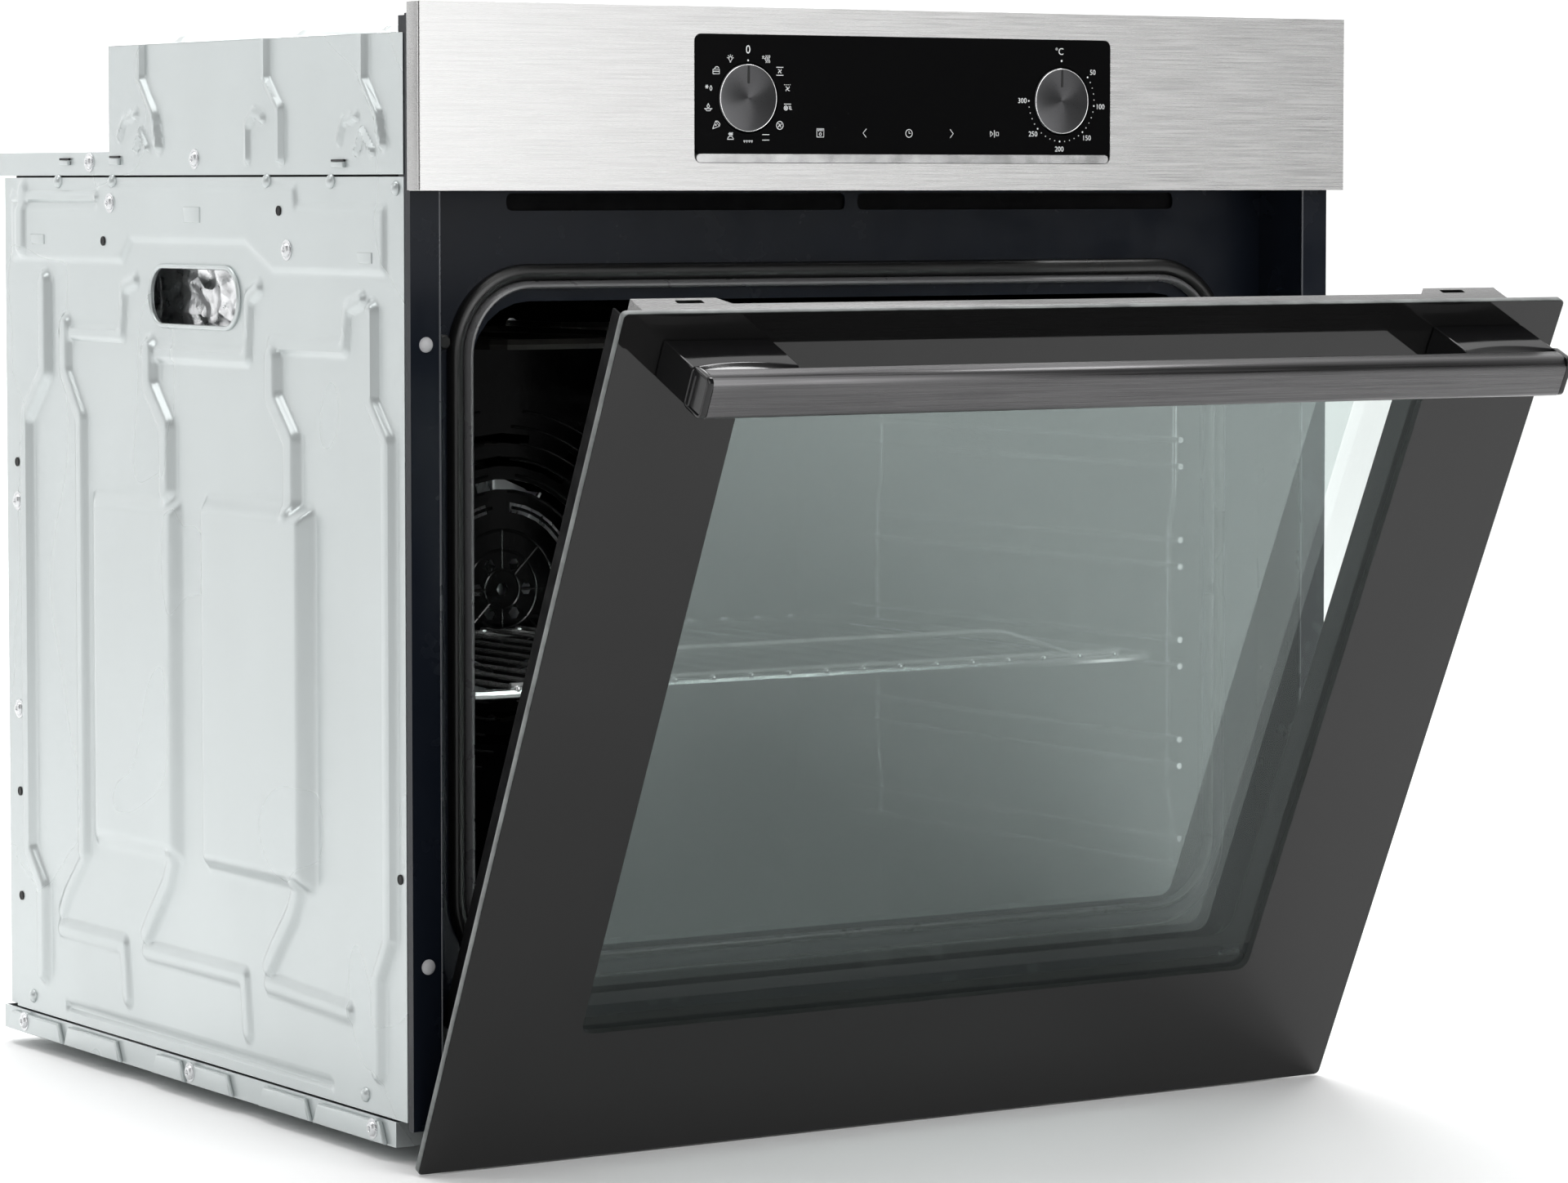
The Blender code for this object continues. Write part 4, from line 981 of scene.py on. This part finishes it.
def make_print(ink):
    """Printed symbols, digits and dial dots on the panel glass."""
    face = limits("display_lens", 1)[0]
    bm = bmesh.new()
    strokes = []

    def draw(glyph, x, z, scale):
        for line in glyph:
            strokes.append([(x + u * scale, 0, z + v * scale) for u, v in line])

    for index, glyph in enumerate(function_glyphs(), 1):
        angle = math.tau * index / 14
        x = -KNOB_X + 0.0253 * math.sin(angle)
        z = KNOB_Z + 0.0228 * math.cos(angle)
        draw(glyph, x, z, 0.0022)
    for x, scale, glyph in touch_glyphs():
        draw(glyph, x, 0.5283, scale)
    lines = wire(strokes, 0.00021, resolution=1)
    lines.transform(Matrix.Translation((0, face, 0)) @ Matrix.Diagonal((1, 0.25, 1, 1)))
    add_mesh(bm, lines)
    add_mesh(bm, lettering("0", -KNOB_X, KNOB_Z + 0.0252, 0.0062, face))
    add_mesh(bm, lettering("°C", KNOB_X - 0.0015, KNOB_Z + 0.0268, 0.0052, face))
    dots = [(-KNOB_X, KNOB_Z + 0.0197, 0.0005), (KNOB_X, KNOB_Z + 0.0219, 0.0006)]
    for k in range(6):
        angle = math.radians(DIAL_START + DIAL_STEP * k)
        add_mesh(bm, lettering(str(50 * (k + 1)), KNOB_X + 0.0262 * math.sin(angle),
                               KNOB_Z + 0.0262 * math.cos(angle), 0.0040, face))
        for part in range(5 if k < 5 else 1):
            turn = angle + math.radians(DIAL_STEP) * part / 5
            dots.append((KNOB_X + 0.0219 * math.sin(turn), KNOB_Z + 0.0219 * math.cos(turn),
                         0.0003 if part else 0.0005))
    for x, z, radius in dots:
        disc = lathe([(0, 0.00006), (radius, 0.00004), (radius, -0.0001), (0, -0.0001)], 12)
        add_mesh(bm, disc, towards((0, -1, 0), (x, face, z)))
    piece("panel_symbols", mesh_from(bm, "symbols"), ink, "housing")


def make_knobs(spun, bright, dark):
    """Turned knob caps with a dark pointer inlay, painted shade of a cut line, and a thin polished edge."""
    face = limits("function_knob", 1)[0]
    deep = limits("function_knob", 1)[1] - face
    profile = [(0, -0.0003), (0.0020, -0.00025), (KNOB_RADIUS - 0.0016, 0.0),
               (KNOB_RADIUS - 0.0009, -0.0001), (KNOB_RADIUS - 0.0001, -0.0009),
               (KNOB_RADIUS, -0.0020), (KNOB_RADIUS, -deep + 0.001),
               (KNOB_RADIUS - 0.001, -deep), (0.0060, -deep), (0.0060, -deep + 0.004),
               (0, -deep + 0.004)]
    for name, side in (("function", -1), ("temperature", 1)):
        centre = (side * KNOB_X, face, KNOB_Z)
        cap = lathe(profile, 96)
        cap.transform(Matrix.Rotation(math.pi / 2, 4, "X"))
        piece(f"{name}_cap", cap, spun, f"{name}_knob_body",
              [f"{name}_knob"], Matrix.Translation(centre))
        # The pointer is a dark inlay on the face: painted shade standing in for a cut line.
        pointer_shade = prism([rounded((-0.00065, 0.00065), (0.0075, KNOB_RADIUS - 0.0010), 0.0006, 4)],
                       "Y", -0.00010, 0.0003)
        piece(f"{name}_pointer", pointer_shade, dark, f"{name}_knob_body",
              matrix=Matrix.Translation(centre))
        edge = KNOB_RADIUS - 0.0007
        outline = [(edge * math.cos(math.tau * k / 96), 0.00035, edge * math.sin(math.tau * k / 96))
                   for k in range(96)]
        piece(f"{name}_rim", wire([outline], 0.00028, True), bright, f"{name}_knob_body",
              matrix=Matrix.Translation(centre))


def make_panel_returns(finish):
    """Folded side returns of the control panel, in a darker copy of its steel for painted shade."""
    near, far = limits("control_panel", 1)
    low_z, top_z = limits("control_panel", 2)
    half = limits("control_panel", 0)[1]
    outline = [(near + 0.0010, low_z + 0.0002), (far + 0.0010, low_z + 0.0002),
               (far + 0.0010, top_z - 0.0002), (near + 0.0010, top_z - 0.0002)]
    for side, label in ((-1, "left"), (1, "right")):
        span = sorted((side * (half + 0.0001), side * (half + 0.0007)))
        piece(f"shaded_panel_return_{label}", prism([outline], "X", *span, 0.0001, 1), finish,
              "housing")


# ---------------------------------------------------------------- door
INNER_CLEAR = 0.2325


def door_piece(name, mesh, finish, replaces=()):
    """A piece built on the closed door and hung ajar."""
    return piece(name, mesh, finish, "door", replaces, DOOR)


def make_glass(pane, coating, edge, ink, inner_ink_painted_reflection):
    """Outer pane with ground edges and black border, and the inner pane's mirror coating."""
    half, low, top, thick = 0.2941, 0.0007, 0.4933, 0.0040
    edge_width = 0.0005
    whole = rounded((-half, half), (low, top), 0.0030, 6)
    core = rounded((-half + edge_width, half - edge_width), (low + edge_width, top - edge_width),
                   0.0026, 6)
    window = rounded((-0.2162, 0.2162), (low + 0.0780, 0.4480), 0.0070, 8)
    border = prism([core, window], "Y", back(0.0), back(thick))
    door_piece("outer_border", border, ink, ["outer_glass"])
    door_piece("outer_window", prism([window], "Y", back(0.0), back(thick)), pane)
    rim = prism([whole, core], "Y", back(0.0003), back(thick - 0.0002), 0.0001, 1)
    door_piece("ground_edge", rim, edge)
    rim = rounded((-0.2636, 0.2636), (0.0684, 0.4736), 0.0076, 6)
    clear = rounded((-INNER_CLEAR, INNER_CLEAR), (0.0760, 0.4600), 0.0110, 8)
    # The inner print's ink is dark grey rather than black: partly print, partly painted reflection of the panes.
    door_piece("inner_print", prism([rim, clear], "Y", back(0.04005), back(0.04020)), inner_ink_painted_reflection)
    coated = rounded((-0.2060, 0.2060), (0.0895, 0.4500), 0.0110, 8)
    sheet = prism([coated], "Y", back(0.04005), back(0.04020))
    door_piece("inner_coating", sheet, coating)


def corner(u, v, radius, start, steps=10):
    """A quarter circle of outline points from an angle in degrees."""
    turns = [math.radians(start + 90 * k / steps) for k in range(steps + 1)]
    return [(u + radius * math.cos(t), v + radius * math.sin(t)) for t in turns]


def bracket_mesh(side):
    """Handle bracket: flat top that breaks along an arch and slopes down to the bar."""
    bm = bmesh.new()
    columns = 24
    rows_top, rows_low = [], []
    for k in range(columns + 1):
        s = k / columns
        x = side * (0.2080 + 0.0607 * s)
        crest = -0.0255 - 0.0045 * (2 * s - 1) ** 2
        line = [(-0.0003, 0.4790), (crest + 0.0009, 0.4792), (crest, 0.4790),
                (crest - 0.0012, 0.4781), (-0.0337, 0.4768)]
        rows_top.append([bm.verts.new((x, back(d), z)) for d, z in line])
        rows_low.append([bm.verts.new((x, back(d), 0.4594)) for d, _ in line])
    last = len(rows_top[0]) - 1
    for k in range(columns):
        for r in range(last):
            for rows in (rows_top, rows_low):
                bm.faces.new((rows[k][r], rows[k + 1][r], rows[k + 1][r + 1], rows[k][r + 1]))
        for r in (0, last):
            bm.faces.new((rows_top[k][r], rows_top[k + 1][r], rows_low[k + 1][r], rows_low[k][r]))
    for k in (0, columns):
        for r in range(last):
            bm.faces.new((rows_top[k][r], rows_top[k][r + 1], rows_low[k][r + 1], rows_low[k][r]))
    bmesh.ops.recalc_face_normals(bm, faces=bm.faces)
    return mesh_from(bm, "bracket")


def make_handle(steel, black):
    """Brushed bar between two glossy brackets with inset end caps."""
    face, rear, low, top, half = -0.0460, -0.0340, 0.4587, 0.4807, 0.2655
    section = corner(back(rear) - 0.0020, low + 0.0020, 0.0020, 270)
    section += corner(back(rear) - 0.0020, top - 0.0020, 0.0020, 0)
    section += corner(back(face) + 0.0062, top - 0.0062, 0.0062, 90)
    section += corner(back(face) + 0.0030, low + 0.0030, 0.0030, 180)
    inner = rounded((back(face + 0.0030), back(rear - 0.0014)), (low + 0.0014, top - 0.0030),
                    0.0030, 8)
    door_piece("handle_tube", prism([section, inner], "X", -half, half, 0.0002, 1), steel,
               ["handle_bar"])
    for side, label in ((-1, "left"), (1, "right")):
        neck = door_piece(f"bracket_{label}", bracket_mesh(side), black,
                          [f"handle_bracket_{label}"])
        soft = neck.modifiers.new("soft_edges", "BEVEL")
        soft.width, soft.segments, soft.limit_method = 0.0008, 3, "ANGLE"
        soft.angle_limit = math.radians(50)
        cap = rounded((back(face), back(-0.0290)), (low, top), 0.0036, 10)
        well = rounded((back(face + 0.0017), back(-0.0307)), (low + 0.0017, top - 0.0017),
                       0.0022, 8)
        bm = bmesh.new()
        span = sorted((side * (half + 0.0001), side * 0.2690))
        add_mesh(bm, prism([cap, well], "X", *span, 0.0005, 3))
        span = sorted((side * (half + 0.0001), side * 0.2681))
        add_mesh(bm, prism([well], "X", *span))
        door_piece(f"end_cap_{label}", mesh_from(bm, "end_cap"), black)


# ---------------------------------------------------------------- studio
# Brightness of the room by heading in degrees (0 = right, 90 = behind, -90 = in front).
ROOM_LIGHT = [(-179.9, 0.36), (-150, 0.38), (-110, 1.0), (-80, 3.6), (-68, 2.6), (-58, 0.12),
              (-48, 0.05), (-30, 0.12), (-12, 0.55), (30, 1.12), (80, 1.22), (125, 0.80),
              (179.9, 0.36)]
SOFT_LIGHTS = [("top", (-0.3, 0.6, 2.8), 2.0, 38), ("left_high", (-2.6, 0.6, 2.4), 1.0, 9),
               ("top_right", (1.4, -0.50, 2.7), 0.5, 12), ("back_fill", (1.5, 2.2, 2.0), 1.5, 40)]


def make_floor():
    """Pale floor that curves up behind the object."""
    scene = bpy.context.scene
    scene.view_settings.view_transform = "Standard"
    floor_z = CAD_BOX[0][2] - 0.0008
    reach, rise, radius = 3.2, 3.0, 1.0
    path = [(-reach * 1.6, floor_z)]
    path += [(reach - radius + radius * math.sin(t), floor_z + radius - radius * math.cos(t))
             for t in [math.pi / 2 * k / 24 for k in range(25)]]
    path.append((reach, floor_z + rise))
    bm = bmesh.new()
    rows = [[bm.verts.new((x, y, z)) for y, z in path] for x in (-6.0, 6.0)]
    for k in range(len(path) - 1):
        bm.faces.new((rows[0][k], rows[1][k], rows[1][k + 1], rows[0][k + 1]))
    floor = bpy.data.objects.new("studio_sweep", mesh_from(bm, "studio_sweep"))
    scene.collection.objects.link(floor)
    paint = Paint("pale_paper", (0.94, 0.94, 0.94), 0.7)
    paint.bump(paint.noise((40, 40, 40)), 0.0003, 0.1)
    floor.data.materials.append(paint.material)
    floor.data.shade_smooth()


def make_room():
    """World whose brightness depends on the heading."""
    world = bpy.data.worlds.new("studio")
    bpy.context.scene.world = world
    world.use_nodes = True
    nodes, links = world.node_tree.nodes, world.node_tree.links
    direction = nodes.new("ShaderNodeTexCoord")
    split = nodes.new("ShaderNodeSeparateXYZ")
    heading = nodes.new("ShaderNodeMath")
    heading.operation = "ARCTAN2"
    turn = nodes.new("ShaderNodeMapRange")
    turn.inputs["From Min"].default_value, turn.inputs["From Max"].default_value = -math.pi, math.pi
    ramp = nodes.new("ShaderNodeValToRGB")
    links.new(direction.outputs["Generated"], split.inputs[0])
    links.new(split.outputs["Y"], heading.inputs[0])
    links.new(split.outputs["X"], heading.inputs[1])
    links.new(heading.outputs[0], turn.inputs["Value"])
    links.new(turn.outputs["Result"], ramp.inputs["Fac"])
    links.new(ramp.outputs["Color"], nodes["Background"].inputs["Color"])
    while len(ramp.color_ramp.elements) > 1:
        ramp.color_ramp.elements.remove(ramp.color_ramp.elements[0])
    for degrees, level in ROOM_LIGHT:
        place = (degrees + 180) / 360
        stop = ramp.color_ramp.elements.new(place)
        stop.color = (level, level, level, 1)
    ramp.color_ramp.elements.remove(ramp.color_ramp.elements[-1])
    nodes["Background"].inputs["Strength"].default_value = 1.0


def make_lamps():
    """Square soft lights aimed at the middle of the oven."""
    for name, place, size, power in SOFT_LIGHTS:
        lamp = bpy.data.lights.new(name, "AREA")
        lamp.size, lamp.energy = size, power
        holder = bpy.data.objects.new(name, lamp)
        bpy.context.scene.collection.objects.link(holder)
        holder.location = place
        aim = Vector((0, 0, 0.3)) - Vector(place)
        holder.rotation_euler = aim.to_track_quat("-Z", "Y").to_euler()


# ---------------------------------------------------------------- build
OWN_LOOK = {"door_top_trim": "trim_steel", "door_column_left": "hollow_black",
            "door_column_right": "hollow_black", "door_bottom_rail": "hollow_black"}


def finish_cad_nodes(looks):
    """Give every CAD node its finish."""
    slots = {s["node"]: s["material_slot"] for s in frame["record"]["subparts"]}
    for name, obj in frame["nodes"].items():
        obj.data.materials.clear()
        obj.data.materials.append(looks[OWN_LOOK.get(name, slots[name])])


def soften_cad_edges():
    """Small rounded edges on the plain sheet-metal nodes."""
    for name in ("front_frame", "control_panel", "base_plate", "top_plate", "back_panel",
                 "door_top_trim"):
        soft = frame["nodes"][name].modifiers.new("soft_edges", "BEVEL")
        soft.width, soft.segments, soft.limit_method = 0.0005, 2, "ANGLE"
        soft.angle_limit = math.radians(50)
        frame["nodes"][name].data.shade_smooth()
        frame["nodes"][name].data.set_sharp_from_angle(angle=math.radians(35))


make_camera()
GALVANISED = zinc()
STEEL = simple_finish("plated_steel", (0.62, 0.63, 0.64), 0.26, 1.0, wobble=(300, 0.08),
                      ripple=(900, 2, 0.00002, 0.3))
BLACK = black_plastic("black_gloss")
LOOKS = {
    "galvanised_steel": GALVANISED,
    "black_enamel": cavity_enamel(),
    "frame_enamel": frame_enamel(),
    "brushed_panel": brushed_steel(),
    "trim_steel": brushed_steel("trim_steel", 0.20),
    "dark_handle": dark_brushed_steel(),
    "spun_knob": spun_metal(),
    "bright_wire": simple_finish("chrome_wire", (0.92, 0.92, 0.92), 0.20, 0.8, wobble=(80, 0.05)),
    "rubber_black": rubber(),
    "panel_glass": black_plastic("panel_glass", (0.0035, 0.0035, 0.0037), 0.06, 0.09),
    "front_pane": pane_glass("front_pane", (0.985, 0.99, 0.988), 0.0, 0.022),
    "inner_pane": pane_glass("inner_pane", (0.980, 0.992, 0.989), 0.0, 0.050),
    "coating": pane_glass("coating", (0.97, 0.99, 0.985), 0.0, 0.140),
    "hollow_black": black_plastic("hollow_black", (0.003, 0.003, 0.0033), 0.55, 0.05),
    "lamp_glass": pane_glass("lamp_glass", (0.97, 0.97, 0.96), 0.02, 0.045),
    "gloss_black": BLACK,
    "matt_black": black_plastic("black_matt", (0.012, 0.012, 0.012), 0.5, 0.3),
    "grey_trim": simple_finish("grey_trim", (0.165, 0.165, 0.164), 0.40, 0.35,
                               wobble=(300, 0.05), ripple=(1500, 2, 0.00003, 0.3)),
    "circuit_board": circuit_board(),
    "foil": foil(),
    "heater": simple_finish("element_sheath", (0.018, 0.017, 0.016), 0.42, 0.5,
                            mottle=(60, (0.030, 0.027, 0.024)), ripple=(500, 3, 0.00004, 0.4)),
    "bare_aluminium": aluminium(),
}
finish_cad_nodes(LOOKS)
make_side_panels(GALVANISED)
make_cover_skins(GALVANISED)
# Matt black discs in the punched holes are painted shade.
make_fasteners(STEEL, GALVANISED, LOOKS["matt_black"])
# Matt black strips in the lanced slits are painted shade.
make_tabs(GALVANISED, LOOKS["matt_black"])
make_foil(LOOKS["foil"])
# The gasket lip's paler rubber is a painted highlight.
make_gasket(LOOKS["rubber_black"],
            black_plastic("gasket_lip_painted_highlight", (0.110, 0.110, 0.113), 0.32, 0.8))
make_racks(LOOKS["bright_wire"])
make_weld_dots(LOOKS["bright_wire"])
make_fan_grille(black_plastic("rim_enamel", (0.010, 0.010, 0.010), 0.16, 0.9))
# Paler enamel for the flange edges is a painted highlight; hollow black marks the seams and the painted shade
# behind the vents.
make_frame_details(black_plastic("flange_edge_painted_highlight", (0.03, 0.034, 0.042), 0.3, 0.9),
                   LOOKS["hollow_black"])
# The returns' steel is a darker copy of the panel's brushed steel: painted shade.
make_panel_returns(brushed_steel("shaded_panel_return", 0.36))
soften_cad_edges()
make_print(simple_finish("pale_print", (0.75, 0.76, 0.77), 0.5, wobble=(500, 0.05)))
# The matt black of the knob pointers is painted shade.
make_knobs(LOOKS["spun_knob"], LOOKS["bright_wire"], LOOKS["matt_black"])
GROUND_EDGE = simple_finish("ground_glass", (0.05, 0.056, 0.055), 0.3,
                            mottle=(60, (0.15, 0.165, 0.16)), ripple=(900, 2, 0.00003, 0.3))
# The inner ink is partly print, partly painted reflection of the panes.
make_glass(LOOKS["front_pane"], LOOKS["coating"], GROUND_EDGE, printed_black(),
           black_plastic("inner_ink_painted_reflection", (0.045, 0.045, 0.047), 0.05, 0.9))
make_handle(LOOKS["dark_handle"], BLACK)
make_floor()
make_room()
make_lamps()
